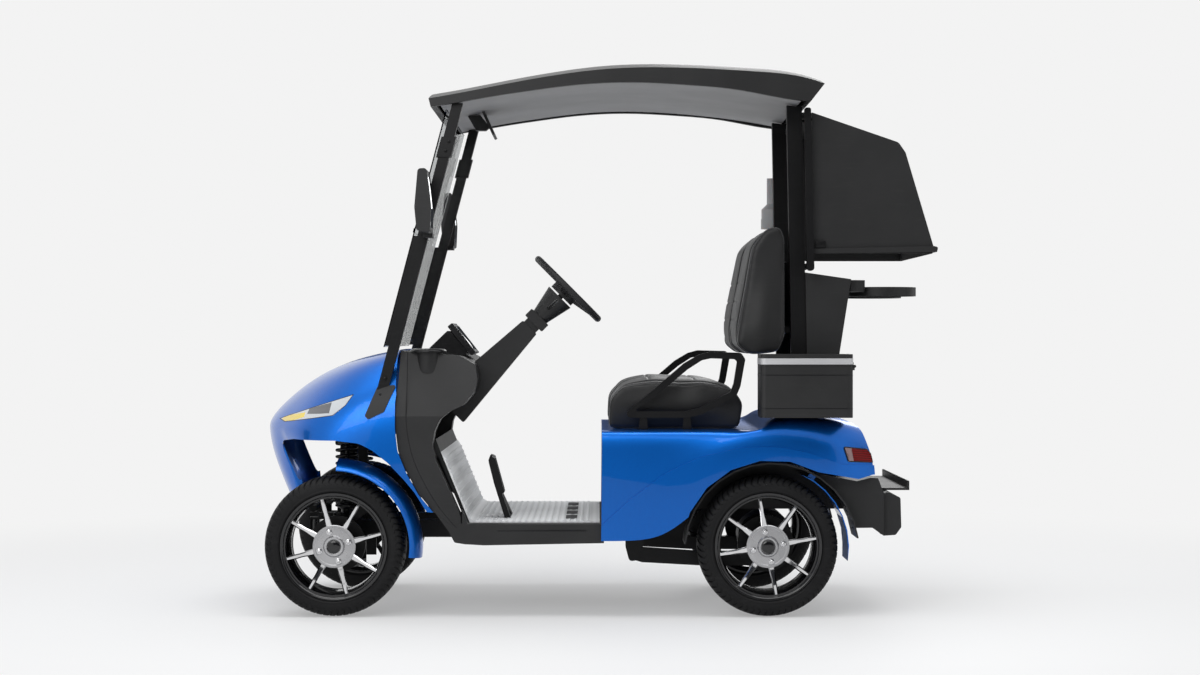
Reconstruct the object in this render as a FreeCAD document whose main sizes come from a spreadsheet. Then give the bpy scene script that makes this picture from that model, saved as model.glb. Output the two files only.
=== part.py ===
import FreeCAD, Part
import math
import os

os.makedirs("parts", exist_ok=True)
V = FreeCAD.Vector
doc = FreeCAD.newDocument("golf_cart")

# Driving sizes, millimetres and degrees. +X is the front, +Y the driver's side, +Z up,
# the origin lies on the ground under the middle of the cart.
SIZES = {
    # wheels and axles
    "wheel_base": 1600,
    "front_axle_ahead": 973,
    "tyre_radius": 260,
    "tyre_width": 196,
    "tyre_centre_side": 482,
    "tyre_bead_radius": 178,
    "rim_flange_radius": 196,
    "rim_flange_width": 8,
    "rim_barrel_wall": 6,
    "rim_width": 170,
    "spoke_count": 8,
    "spoke_root_width": 26,
    "spoke_tip_width": 15,
    "spoke_thickness": 14,
    "hub_radius": 79,
    "hub_length": 46,
    "stub_radius": 16,
    "running_clearance": 0.3,
    "kingpin_side": 400,
    "strut_out": 112,
    # chassis
    "rail_side": 180,
    "rail_width": 50,
    "rail_top": 330,
    "rail_depth": 66,
    "rail_kick_up": 120,
    "frame_front": 1010,
    "frame_rear": -1061.7,
    # floor and sill
    "sill_half_width": 578,
    "sill_wall": 12,
    "floor_top": 344,
    "floor_thickness": 13.7,
    "sill_bottom": 270,
    "mat_thickness": 5,
    "mat_rib_height": 2.5,
    "mat_rib_pitch": 23,
    # body shells
    "skin": 6,
    "flare_rise": 7,
    "body_half_width": 600,
    "seat_deck_height": 690,
    "rear_deck_height": 735,
    "arch_radius": 335,
    "guard_radius": 292,
    "guard_wall": 4,
    # posts and roof
    "front_post_side": 550,
    "front_post_depth": 40,
    "front_post_width": 34,
    "front_post_foot_height": 778,
    "front_post_foot_ahead": 810,
    "front_post_top_height": 1893.8,
    "front_post_top_ahead": 516.8,
    "rear_post_side": 360,
    "rear_post_depth": 57,
    "rear_post_width": 40,
    "rear_post_top_behind": 739,
    "rear_post_foot_behind": 761,
    "rear_post_foot_height": 736.6,
    "roof_half_width": 600,
    "roof_camber": 62,
    "roof_sheet": 9,
    "screen_thickness": 5,
    # seats
    "seat_gap": 30,
    "seat_outer_side": 462,
    "seat_back_side": 436,
    # luggage
    "box_length": 338,
    "box_width": 192,
    "box_bottom": 736.7,
    "box_body_height": 188,
    "box_lid_height": 44,
    "box_wall": 8,
    "box_corner_radius": 19,
    "cover_half_width": 440,
    "cover_wall": 5,
    "bar_width": 26,
    # steering
    "steer_wheel_radius": 172,
    "steer_rim_radius": 13,
    "column_side": 280,
    "column_tilt": 45,
}

sheet = doc.addObject("Spreadsheet::Sheet", "Sizes")
for row, (name, value) in enumerate(SIZES.items(), start=1):
    sheet.set("A%d" % row, name)
    sheet.set("B%d" % row, str(value))
    sheet.setAlias("B%d" % row, name)
doc.recompute()


class Values:
    """The sheet's cells as plain numbers."""


S = Values()
for name in SIZES:
    setattr(S, name, float(sheet.get(name)))

NODES = []


def node(obj, label):
    """Gives a finished sub-part its name and keeps it for the export."""
    obj.Label = label
    NODES.append(obj)
    return obj


def rounded(corners):
    """Edges of a closed polygon whose corners are (x, y) or (x, y, radius)."""
    count = len(corners)
    spans = []
    for i, corner in enumerate(corners):
        here = V(corner[0], corner[1], 0)
        before = V(corners[i - 1][0], corners[i - 1][1], 0) - here
        after = V(corners[(i + 1) % count][0], corners[(i + 1) % count][1], 0) - here
        if len(corner) < 3:
            spans.append((here, None, here))
            continue
        before.normalize()
        after.normalize()
        half = before.getAngle(after) / 2
        reach = corner[2] / math.tan(half)
        middle = before + after
        middle.normalize()
        centre = here + middle * (corner[2] / math.sin(half))
        spans.append((here + before * reach, centre - middle * corner[2], here + after * reach))
    edges = []
    for i in range(count):
        start, mid, end = spans[i]
        if mid is not None:
            edges.append(Part.Arc(start, mid, end))
        following = spans[(i + 1) % count][0]
        if (following - end).Length > 1e-6:
            edges.append(Part.LineSegment(end, following))
    return edges


def circle(x, y, radius):
    """A round sketch edge."""
    return [Part.Circle(V(x, y, 0), V(0, 0, 1), radius)]


def new_body(name):
    """An empty body that may hold several solids."""
    body = doc.addObject("PartDesign::Body", name)
    body.AllowCompound = True
    return body


def sketch(body, role, edges):
    """A sketch on one of the body's own origin planes."""
    plane = [item for item in body.Origin.OriginFeatures if item.Role == role][0]
    drawn = body.newObject("Sketcher::SketchObject", body.Name + "_sketch")
    drawn.AttachmentSupport = [(plane, "")]
    drawn.MapMode = "FlatFace"
    drawn.addGeometry(edges, False)
    return drawn


def pad(body, role, edges, length, both=True):
    """A pad of the outline, its length bound to the sheet."""
    drawn = sketch(body, role, edges)
    made = body.newObject("PartDesign::Pad", body.Name + "_pad")
    made.Profile = drawn
    made.setExpression("Length", length)
    made.Midplane = both
    body.Tip = made
    doc.recompute()
    return made


def pocket(body, role, edges, length, both=True):
    """A pocket of the outline, its length bound to the sheet."""
    drawn = sketch(body, role, edges)
    cut = body.newObject("PartDesign::Pocket", body.Name + "_pocket")
    cut.Profile = drawn
    cut.setExpression("Length", length)
    cut.Midplane = both
    body.Tip = cut
    doc.recompute()
    return cut


def revolve(body, edges, angle=360.0, start=0.0):
    """Turns an outline drawn as (axle distance, radius) about the axle along Y."""
    turned = [edge.copy() for edge in edges]
    drawn = sketch(body, "YZ_Plane", turned)
    made = body.newObject("PartDesign::Revolution", body.Name + "_turned")
    made.Profile = drawn
    made.ReferenceAxis = (drawn, ["H_Axis"])
    made.Angle = angle
    body.Tip = made
    doc.recompute()
    return made


def place(obj, **where):
    """Binds an object's position to the sheet: x, y, z as expressions."""
    for axis, text in where.items():
        obj.setExpression(".Placement.Base." + axis, text)
    return obj


def mirrored(obj):
    """The same piece on the other side of the cart."""
    other = doc.addObject("Part::Mirroring", obj.Name + "_other")
    other.Source = obj
    other.Base = V(0, 0, 0)
    other.Normal = V(0, 1, 0)
    return other


def group(name, parts):
    """Like pieces on one body, as separate solids."""
    made = doc.addObject("Part::Compound", name)
    made.Links = parts
    return made


def pair(obj, label):
    """A piece and its mirror image as one node."""
    return node(group(label + "_pair", [obj, mirrored(obj)]), label)


def fused(name, parts):
    """Several pieces welded or moulded into one."""
    made = doc.addObject("Part::MultiFuse", name)
    made.Shapes = parts
    made.Refine = True
    return made


def cut_from(name, base, tool):
    """The base with the tool's volume taken out."""
    made = doc.addObject("Part::Cut", name)
    made.Base = base
    made.Tool = tool
    made.Refine = True
    return made


def box(name, length, width, height, x, y, z):
    """A bound block: each argument is an expression, y is its middle."""
    made = doc.addObject("Part::Box", name)
    made.setExpression("Length", length)
    made.setExpression("Width", width)
    made.setExpression("Height", height)
    place(made, x=x, y="(%s) - (%s) / 2" % (y, width), z=z)
    return made


def side_plate(name, corners, width, y):
    """A side outline in X and Z given a width about a middle plane."""
    body = new_body(name)
    pad(body, "XZ_Plane", rounded(corners), width)
    place(body, y=y)
    return body


def feature(name, shape):
    """A piece shaped by surface functions."""
    made = doc.addObject("Part::Feature", name)
    made.Shape = shape
    return made


def prism(corners, low, high, grow=0):
    """A side outline in X and Z swept from one side distance to the other."""
    edges = []
    for edge in rounded(corners):
        edges.append(edge.toShape())
    wire = Part.Wire(Part.__sortEdges__(edges))
    if grow:
        wire = wire.makeOffset2D(grow)
    flat = Part.Face(wire)
    flat.rotate(V(0, 0, 0), V(1, 0, 0), 90)
    flat.translate(V(0, low, 0))
    return flat.extrude(V(0, high - low, 0))


def net_face(rails):
    """A smooth skin over character lines of the left half, mirrored about the middle."""
    stations = len(rails[0])
    rows = []
    for station in range(stations):
        half = [V(*rail[station]) for rail in rails]
        other = [V(p.x, -p.y, p.z) for p in reversed(half[1:])]
        rows.append(other + half)
    if rows[0][0].x > rows[-1][0].x:
        rows.reverse()
    degree = 3
    spans = []
    for count in (len(rows), len(rows[0])):
        inner = count - degree - 1
        knots = [float(i) for i in range(inner + 2)]
        mults = [degree + 1] + [1] * inner + [degree + 1]
        spans.append((knots, mults))
    surface = Part.BSplineSurface()
    surface.buildFromPolesMultsKnots(
        rows, spans[0][1], spans[1][1], spans[0][0], spans[1][0], False, False, degree, degree
    )
    return surface.toShape()


def skin_between(face, low, high):
    """The layer between two offsets of a face, positive outwards."""
    moved = face
    if low != 0:
        moved = face.makeOffsetShape(low, 0.01)
    return moved.makeOffsetShape(high - low, 0.01, fill=True)


def both_sides(shape):
    """A shape of the left side together with its mirror image."""
    return Part.makeCompound([shape, shape.mirror(V(0, 0, 0), V(0, 1, 0))])


def cleaned(shape):
    """The solids of a boolean's result, without stray faces."""
    solids = [solid for solid in shape.Solids if solid.Volume > 200]
    if len(solids) == 1:
        return solids[0]
    return Part.makeCompound(solids)


def rod(start, end, radius):
    """A round bar between two points."""
    return Part.makeCylinder(radius, (end - start).Length, start, end - start)


# Chassis: two welded rails that kick up over the rear axle, with cross tubes and shock towers.
def chassis_frame():
    top = S.rail_top
    low = S.rail_top - S.rail_depth
    rise = S.rail_kick_up
    rail = side_plate("chassis_rail", [
        (S.frame_front, top, 6), (S.frame_front, low + 20, 6), (S.frame_front - 40, low, 6),
        (-330, low, 40), (-430, low + rise, 40), (S.frame_rear, low + rise, 6),
        (S.frame_rear, top + rise, 6), (-460, top + rise, 40), (-360, top, 40),
    ], "Sizes.rail_width", "Sizes.rail_side")
    ties = []
    for index, (x, z) in enumerate(((930, 270), (480, 270), (-135, 270), (-330, 270))):
        ties.append(box("chassis_tie_%d" % index, "40", "2 * Sizes.rail_side", "50", str(x), "0", str(z)))
    ties.append(box("chassis_tail", "40", "2 * Sizes.rail_side + 300", "44", "Sizes.frame_rear + 12", "0",
                    "Sizes.rail_top + Sizes.rail_kick_up - 50"))
    outrigger = box("spring_outrigger", "44", "150", "44", "-172", "Sizes.rail_side + 95",
        "Sizes.rail_top - 64")
    tower = side_plate("shock_tower", [
        (915, top - 8), (1005, top - 8), (990, 640, 8), (925, 640, 8),
    ], "8", "Sizes.rail_side + 6")
    hanger = box("shock_hanger", "74", "150", "8", "918", "Sizes.rail_side + 77", "640")
    sides = fused("chassis_side", [rail, outrigger, tower, hanger])
    for side in (1, -1):
        ties.append(box("arm_drop_%d" % (side + 1), "150", "10", "108", "890",
                        "%d * (Sizes.rail_side + 20)" % side, "158"))
    whole = fused("chassis_welded", [sides, mirrored(sides)] + ties)
    node(whole, "chassis_frame")


# Floor: one moulded tray with side sills and a slanted toe board.
def floor_pan():
    top = S.floor_top
    below = top - S.floor_thickness
    tray = side_plate("floor_tray", [
        (-22, top), (480, top, 8), (603, 652), (616, 646), (604, 392, 10), (550, 318, 12),
        (528, 276, 10), (490, S.sill_bottom, 20), (420, S.sill_bottom - 4, 20), (-22, S.sill_bottom + 4),
    ], "2 * Sizes.sill_half_width", "0")
    pocket(tray, "XZ_Plane", rounded([
        (-40, below), (486, below, 8), (500, 366, 8), (592, 590), (660, 590), (660, 240), (-40, 240),
    ]), "2 * (Sizes.sill_half_width - Sizes.sill_wall)")
    notches = []
    for side in (1, -1):
        notches.append(side_plate("cheek_notch_%d" % (side + 1), [
            (500, S.floor_top + 1.7), (548, S.floor_top + 1.7), (604.3, 387.7), (660, 387.7), (660,
                700), (500, 700),
        ], "120", "%d * (Sizes.sill_half_width - 25.3)" % side))
    node(cut_from("floor_cut", tray, group("cheek_notches", notches)), "floor_pan")
    pitch = S.mat_rib_pitch
    low = top + 0.3
    high = low + S.mat_thickness
    teeth = [(-6, low), (476, low), (583, 606)]
    lean = math.atan2(606 - low, 583 - 476)
    up = V(-math.sin(lean), math.cos(lean), 0)
    run = V(math.cos(lean), math.sin(lean), 0)
    root = V(476, low, 0) + up * S.mat_thickness
    steps = int(260 / pitch)
    for i in range(steps, 0, -1):
        foot = root + run * (i * pitch)
        teeth.append(tuple((foot + run * 5)[0:2]))
        teeth.append(tuple((foot + up * S.mat_rib_height + run * 3)[0:2]))
        teeth.append(tuple((foot + up * S.mat_rib_height - run * 3)[0:2]))
        teeth.append(tuple((foot - run * 5)[0:2]))
    for i in range(int(450 / pitch)):
        x = 452 - i * pitch
        teeth += [(x + 5, high), (x + 3, high + S.mat_rib_height), (x - 3, high + S.mat_rib_height),
            (x - 5, high)]
    teeth.append((-6, high))
    node(side_plate("mat", teeth, "2 * Sizes.sill_half_width - 140", "0"), "floor_mat")


# Front cowl: one skin over the hood line, shoulder, lamp line and lower edge.
COWL_LINES = [
    [(752, 0, 986), (872, 0, 970), (1010, 0, 930), (1130, 0, 868), (1238, 0, 782), (1297, 0, 712),
     (1296, 0, 668), (1275, 0, 560), (1210, 0, 425)],
    [(748, 300, 985), (866, 290, 964), (995, 275, 920), (1110, 255, 853), (1205, 225, 768), (1262, 190,
        706),
     (1261, 190, 664), (1243, 180, 560), (1188, 175, 427)],
    [(744, 480, 982), (858, 460, 950), (978, 430, 895), (1085, 390, 824), (1165, 340, 750), (1223, 285,
        704),
     (1221, 284, 664), (1205, 250, 560), (1166, 240, 430)],
    [(744, 545, 900), (850, 540, 872), (965, 530, 822), (1068, 500, 766), (1140, 430, 720), (1198, 338,
        697),
     (1194, 334, 660), (1180, 278, 560), (1152, 262, 434)],
    [(746, 604, 775), (850, 604, 765), (955, 596, 735), (1050, 566, 705), (1122, 495, 686), (1182, 378,
        682),
     (1178, 372, 650), (1160, 294, 555), (1143, 280, 438)],
    [(690, 604, 540), (820, 604, 560), (935, 602, 590), (1035, 588, 620), (1105, 520, 640), (1166, 392,
        645),
     (1162, 386, 632), (1140, 300, 550), (1130, 284, 440)],
    [(600, 600, 380), (790, 600, 380), (915, 600, 440), (1020, 590, 560), (1095, 520, 600), (1152, 382,
        612),
     (1148, 372, 604), (1128, 296, 545), (1122, 282, 442)],
]
SEAM = [
    (736, 880), (746, 791, 60), (746, 700, 60), (736, 613, 60), (703, 532, 40), (658, 452, 40), (604, 388),
]
COWL_ARCH = [
    (604, 388), (628, 390), (673, 461, 60), (711, 507, 60), (770, 569, 80), (829, 616, 80), (878, 641, 80),
    (964, 651, 60), (1135, 652, 18), (1200, 640, 18), (1160, 300), (604, 300),
]
LAMP_OUTLINE = [(1215, 722), (1184, 733), (900, 822), (930, 779, 12), (977, 742, 12), (1183, 712)]
BOOT_OUTLINE = [(743, 856, 6), (812, 851, 6), (857, 743, 6), (845, 730, 6), (786, 758, 10), (760, 818, 6)]


def cowl_face():
    return net_face(COWL_LINES)


def front_cowl():
    face = cowl_face()
    shell = skin_between(face, -S.skin, 0)
    behind = [(760, 1060), (733, 985)] + SEAM + [(560, 388), (560, 1060)]
    shell = shell.cut(prism(behind, -700, 700))
    shell = shell.cut(both_sides(prism(COWL_ARCH, 286, 700)))
    shell = shell.cut(both_sides(prism(LAMP_OUTLINE, 60, 700)))
    shell = shell.cut(both_sides(prism(BOOT_OUTLINE, 400, 700)))
    post = both_sides(prism(leaning_strip(S.front_post_foot_height - 40, 1000,
        -S.front_post_depth / 2 - 0.4,
                                          S.front_post_depth + 0.8),
                            S.front_post_side - S.front_post_width / 2 - 0.4,
                            S.front_post_side + S.front_post_width / 2 + 0.4))
    shell = shell.cut(post)
    node(feature("cowl", cleaned(shell)), "front_cowl")
    lamp_prism = prism(LAMP_OUTLINE, 60, 700, -0.3)
    glass = both_sides(lamp_prism).common(skin_between(face, -3.5, 0))
    housing = both_sides(lamp_prism).common(skin_between(face, -28, -3.8))
    node(feature("lamp", Part.makeCompound([cleaned(glass), cleaned(housing)])), "headlamps")
    boot = both_sides(prism(BOOT_OUTLINE, 400, 700)).common(skin_between(face, -S.skin, 5))
    node(feature("boot", cleaned(boot.cut(post))), "post_boots")


# Dash: a moulded black beam with two hollow side cheeks that curve down to the sill.
DASH_REAR = [
    (511, 962, 40), (452, 930, 40), (447, 878, 40), (462, 822, 30), (498, 780, 30), (545, 758, 40),
    (582, 728, 40), (602, 684, 40), (610, 630, 40), (597, 576, 40), (560, 496, 60), (521, 408),
]


def dash_cowl():
    front = [(x - 0.3, z) + tuple(more) for x, z, *more in reversed(SEAM)]
    rear = list(DASH_REAR)
    outline = [(730, 981)] + rear + [(505, 372), (505, S.floor_top + 2), (548, S.floor_top + 2, 8)] + front
    full = "2 * Sizes.sill_half_width"
    whole = new_body("dash")
    pad(whole, "XZ_Plane", rounded(outline), full)
    pocket(whole, "XZ_Plane", rounded([
        (420, 300), (420, 762), (560, 762, 30), (612, 742, 30), (660, 742), (660, 690), (700, 640),
            (700, 300),
    ]), full + " - 170")
    pocket(whole, "XZ_Plane", rounded([
        (722, 970), (520, 950, 40), (464, 920, 30), (458, 880, 30), (474, 830, 30), (504, 790, 30),
            (550, 772, 30),
        (640, 772), (732, 800),
    ]), full + " - 290")
    cups = []
    for side in (1, -1):
        cups.append(cup_cutter(side))
    half = S.sill_half_width
    for side in (1, -1):
        lean = new_body("dash_lean_%d" % (side + 1))
        pad(lean, "YZ_Plane", [
            Part.LineSegment(V(side * (half + 0.1), 740, 0), V(side * (half - 62), 1000, 0)),
            Part.LineSegment(V(side * (half - 62), 1000, 0), V(side * (half + 60), 1000, 0)),
            Part.LineSegment(V(side * (half + 60), 1000, 0), V(side * (half + 60), 740, 0)),
            Part.LineSegment(V(side * (half + 60), 740, 0), V(side * (half + 0.1), 740, 0)),
        ], "2000")
        cups.append(lean)
    cups.append(side_plate("dash_column_slot", column_outline(0.4), "64.8", "Sizes.column_side"))
    holes = fused("dash_cuts", cups)
    node(cut_from("dash_with_cups", whole, holes), "dash_cowl")


def cup_cutter(side):
    cup = doc.addObject("Part::Cylinder", "cup_hole")
    cup.Radius = 42
    cup.Height = 90
    place(cup, x="630", y="%d * (Sizes.sill_half_width - 78)" % side, z="905")
    return cup


# Front posts and the two-piece clear screen that stands on them.
def post_point(height):
    """Distance ahead of the front post's middle at a height."""
    share = (height - S.front_post_foot_height) / (S.front_post_top_height - S.front_post_foot_height)
    return S.front_post_foot_ahead + share * (S.front_post_top_ahead - S.front_post_foot_ahead)


def leaning_strip(low, high, ahead, depth):
    """Side outline of a strip that leans with the front posts."""
    return [
        (post_point(low) + ahead, low), (post_point(high) + ahead, high),
        (post_point(high) + ahead + depth, high), (post_point(low) + ahead + depth, low),
    ]


def front_posts():
    half = S.front_post_depth / 2
    post = side_plate("post", leaning_strip(S.front_post_foot_height, S.front_post_top_height, -half,
        2 * half),
                      "Sizes.front_post_width", "Sizes.front_post_side")
    clamp = side_plate("post_clamp", leaning_strip(1695, 1770, -half - 7, 2 * half + 14),
                       "Sizes.front_post_width + 12", "Sizes.front_post_side")
    channel = side_plate("post_channel", leaning_strip(1000, 1405, half, 14),
                         "Sizes.front_post_width - 6", "Sizes.front_post_side")
    pair(fused("post_welded", [post, clamp, channel]), "front_posts")
    face = half + 14 + 0.3
    sheets = []
    for name, low, high in (("lower", 995, 1424), ("upper", 1430, 1872)):
        sheets.append(side_plate("screen_" + name, leaning_strip(low, high, face, S.screen_thickness),
                                 "2 * Sizes.front_post_side - 6", "0"))
    sheets.append(side_plate("screen_fold", leaning_strip(1419, 1435, face, S.screen_thickness + 3),
                             "2 * Sizes.front_post_side - 6", "0"))
    node(fused("screens", sheets), "windshield")


# Roof: an arched sheet with a deep rim, and a pale liner underneath.
ROOF_TOP = [(622, 1908), (445, 1940), (291, 1970), (130, 1997), (-20, 2015), (-180, 2022), (-380, 2018),
            (-560, 2008), (-745, 1988), (-832, 1962)]
ROOF_LOW = [(-782, 1898), (-633, 1918), (-521, 1939), (-330, 1958), (-154, 1967), (-11, 1965), (130, 1953),
            (235, 1939), (375, 1918), (495, 1897), (614, 1877)]


def roof_section(side, top, low, lift):
    """The rim profile at one side distance, its top lifted by the camber."""
    upper = [V(x, side, z + lift) for x, z in top]
    lower = [V(x, side, z) for x, z in low]
    over = Part.BSplineCurve()
    over.interpolate(upper)
    under = Part.BSplineCurve()
    under.interpolate(lower)
    return Part.Wire([
        over.toShape(), Part.makeLine(upper[-1], lower[0]), under.toShape(), Part.makeLine(lower[-1],
            upper[0]),
    ])


def roof_solid(half, top, low, camber):
    sections = []
    for share in (-1, -0.55, 0, 0.55, 1):
        sections.append(roof_section(share * half, top, low, camber * (1 - share * share)))
    return Part.makeLoft(sections, True)


def roof():
    outer = roof_solid(S.roof_half_width, ROOF_TOP, ROOF_LOW, S.roof_camber)
    rim = 26
    top_x = [p[0] for p in ROOF_TOP]
    inner_top = [(x, z - S.roof_sheet) for x, z in ROOF_TOP]
    inner_top[0] = (top_x[0] - rim, inner_top[0][1] + 6)
    inner_top[-1] = (top_x[-1] + 40, inner_top[-1][1] + 4)
    inner_low = [(x, z - 30) for x, z in ROOF_LOW]
    inner_low[0] = (ROOF_LOW[0][0] + 24, ROOF_LOW[0][1] - 30)
    inner_low[-1] = (ROOF_LOW[-1][0] - rim, ROOF_LOW[-1][1] - 24)
    inner = roof_solid(S.roof_half_width - rim, inner_top, inner_low, S.roof_camber - 6)
    shell = cleaned(outer.cut(inner))
    node(feature("roof", shell), "roof_shell")
    liner_low = [V(x, 0, z + 6) for x, z in ROOF_LOW[1:-1]]
    liner_low[0] = V(ROOF_LOW[0][0] + 30, 0, ROOF_LOW[0][1] + 8)
    liner_low[-1] = V(ROOF_LOW[-1][0] - rim - 8, 0, ROOF_LOW[-1][1] + 8)
    low_curve = Part.BSplineCurve()
    low_curve.interpolate(liner_low)
    high_curve = Part.BSplineCurve()
    high_curve.interpolate([p + V(0, 0, 5) for p in liner_low])
    wire = Part.Wire([
        low_curve.toShape(), Part.makeLine(liner_low[-1], liner_low[-1] + V(0, 0, 5)),
        high_curve.toShape(), Part.makeLine(liner_low[0] + V(0, 0, 5), liner_low[0]),
    ])
    half = S.roof_half_width - rim - 0.3
    flat = Part.Face(wire)
    flat.translate(V(0, -half, 0))
    liner = flat.extrude(V(0, 2 * half, 0))
    node(feature("liner", cleaned(liner.common(inner))), "roof_liner")


def mirrors():
    arm = side_plate("mirror_arm", [(604, 1396), (640, 1396), (640, 1412), (604, 1412)], "70", "602")
    glass = side_plate("mirror_body", [
        (604, 1408, 8), (652, 1415, 12), (660, 1500, 40), (648, 1638, 12), (616, 1640, 12), (600, 1500, 60),
    ], "150", "702")
    pair(fused("mirror_joined", [arm, glass]), "side_mirrors")
    stem = side_plate("inner_mirror_stem", [
        (512, 1900, 4), (462, 1903, 4), (424, 1856, 8), (440, 1842, 4), (478, 1842, 8),
    ], "40", "0")
    plate = side_plate("inner_mirror_plate", [(450, 1904), (410, 1816), (400, 1820), (440, 1908)],
        "230", "0")
    node(fused("inner_mirror_joined", [stem, plate]), "interior_mirror")


def display():
    case = side_plate("display_case", [(556, 1086, 4), (574, 1072, 4), (484, 962, 4), (464, 972, 4)],
        "250", "150")
    foot = side_plate("display_foot", [(650, 985), (572, 1060, 10), (500, 980), (504, 962), (650,
        974.8)], "190", "150")
    node(fused("display_joined", [case, foot]), "display_screen")


# Steering column: a tapered box section, a collar and a flared bell under the wheel.
def along_column(distance, across):
    """Point in the side view: distance down the column from the wheel, across upwards."""
    lean = math.radians(S.column_tilt)
    ahead = math.sin(lean)
    return (114 + distance * ahead + across * math.cos(lean),
        1215 - distance * math.cos(lean) + across * ahead)


def column_outline(extra):
    """Side outline of the tapered column box, grown by a clearance."""
    return [
        along_column(206 - extra, 36 + extra) + (6,), along_column(206 - extra, -36 - extra) + (6,),
        along_column(640 + extra, -78 - extra) + (6,), along_column(640 + extra, 70 + extra),
    ]


def steering():
    box_part = side_plate("column_box", column_outline(0), "64", "Sizes.column_side")
    collar = side_plate("column_collar", [
        along_column(150, 44) + (4,), along_column(186, 44) + (4,), along_column(186, -44) + (4,),
        along_column(150, -44) + (4,),
    ], "76", "Sizes.column_side")
    neck = side_plate("column_neck", [
        along_column(180, 30), along_column(212, 30), along_column(212, -30), along_column(180, -30),
    ], "52", "Sizes.column_side")
    axis = V(math.sin(math.radians(S.column_tilt)), 0, -math.cos(math.radians(S.column_tilt)))
    hub = V(114, S.column_side, 1215)
    bell = doc.addObject("Part::Cone", "column_bell")
    bell.Radius1 = 58
    bell.Radius2 = 34
    bell.Height = 108
    bell.Placement = FreeCAD.Placement(hub + axis * 44, FreeCAD.Rotation(V(0, 0, 1), axis))
    stalk = doc.addObject("Part::Cylinder", "column_stalk")
    stalk.Radius = 6
    stalk.Height = 150
    stalk.Placement = FreeCAD.Placement(hub + axis * 110 + V(0, 30, 0), FreeCAD.Rotation(V(0, 0, 1),
        V(-0.3, 1, 0.25)))
    shaft = doc.addObject("Part::Cylinder", "column_shaft")
    shaft.Radius = 11
    shaft.Height = 60
    shaft.Placement = FreeCAD.Placement(hub + axis * 18, FreeCAD.Rotation(V(0, 0, 1), axis))
    node(fused("column_joined", [box_part, collar, neck, bell, stalk, shaft]), "steering_column")
    rim = doc.addObject("Part::Torus", "wheel_rim")
    rim.setExpression("Radius1", "Sizes.steer_wheel_radius - Sizes.steer_rim_radius")
    rim.setExpression("Radius2", "Sizes.steer_rim_radius")
    hub_part = doc.addObject("Part::Cylinder", "wheel_boss")
    hub_part.Radius = 52
    hub_part.Height = 30
    hub_part.Placement = FreeCAD.Placement(V(0, 0, -38), FreeCAD.Rotation())
    spokes = []
    for angle in (90, 180, 270):
        spoke = doc.addObject("Part::Box", "wheel_spoke_%d" % angle)
        spoke.Width = 34
        spoke.Height = 12
        spoke.setExpression("Length", "Sizes.steer_wheel_radius - Sizes.steer_rim_radius - 30")
        turn = FreeCAD.Rotation(V(0, 0, 1), angle)
        tilt = FreeCAD.Rotation(V(0, 1, 0), -10)
        spoke.Placement = FreeCAD.Placement(turn.multVec(V(30, -17, -30)), turn * tilt)
        spokes.append(spoke)
    socket = doc.addObject("Part::Cylinder", "wheel_socket")
    socket.setExpression("Radius", "11 + Sizes.running_clearance")
    socket.Height = 30
    socket.Placement = FreeCAD.Placement(V(0, 0, -47.7), FreeCAD.Rotation())
    wheel = cut_from("wheel_bored", fused("wheel_joined", [rim, hub_part] + spokes), socket)
    wheel.Placement = FreeCAD.Placement(hub, FreeCAD.Rotation(V(0, 0, 1), -axis))
    node(wheel, "steering_wheel")


def pedals():
    parts = []
    for name, side, reach in (("brake", 330, 0), ("drive", 190, 8)):
        parts.append(side_plate(name + "_pedal", [
            (330, S.floor_top + 8.2), (352, S.floor_top + 8.2), (392 + reach, 480, 10), (412 + reach,
                560, 6),
            (404 + reach, 582, 4), (388 + reach, 575, 4), (352 + reach, 446, 6), (362 + reach, 440, 6),
        ], "80", str(side)))
    node(group("pedal_set", parts), "pedals")


# Rear body: one skin from the seat deck over the shoulder and the wheel flare to the arch.
REAR_LINES = [
    [(-14, 0, 690), (-200, 0, 690), (-440, 0, 690), (-565, 0, 690), (-600, 0, 690), (-640, 0, 736),
     (-690, 0, 736), (-760, 0, 736), (-830, 0, 736), (-885, 0, 734)],
    [(-14, 350, 690), (-200, 350, 690), (-440, 350, 690), (-565, 350, 690), (-600, 350, 690), (-640,
        350, 736),
     (-690, 350, 736), (-760, 350, 736), (-835, 350, 736), (-892, 350, 734)],
    [(-14, 552, 690), (-200, 556, 690), (-440, 556, 690), (-565, 556, 689), (-602, 552, 690), (-642,
        548, 732),
     (-700, 542, 738), (-800, 528, 738), (-900, 500, 732), (-975, 460, 704)],
    [(-15, 586, 684), (-200, 588, 684), (-420, 590, 687), (-540, 590, 686), (-600, 590, 694), (-648,
        588, 714),
     (-715, 585, 716), (-810, 574, 712), (-910, 545, 694), (-992, 492, 656)],
    [(-14, 589, 560), (-180, 592, 580), (-330, 598, 630), (-450, 604, 665), (-540, 609, 680), (-630,
        612, 684),
     (-720, 610, 680), (-820, 604, 664), (-925, 568, 630), (-1016, 506, 590)],
    [(-13, 590, 420), (-150, 594, 440), (-280, 600, 500), (-390, 608, 550), (-500, 613, 585), (-620,
        616, 600),
     (-720, 613, 592), (-820, 606, 578), (-932, 572, 556), (-1022, 510, 545)],
    [(-12, 588, 283), (-130, 592, 283), (-240, 598, 290), (-360, 604, 400), (-480, 610, 480), (-620,
        612, 520),
     (-720, 609, 515), (-820, 602, 500), (-930, 566, 490), (-1024, 506, 500)],
]
FLARE_OUTLINE = [
    (-8, 336), (-115, 434, 300), (-246, 532, 300), (-369, 590, 300), (-522, 627, 300), (-660, 631, 300),
    (-776, 608, 200), (-895, 564, 60), (-1050, 556), (-1050, 200), (-8, 200),
]
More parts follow.
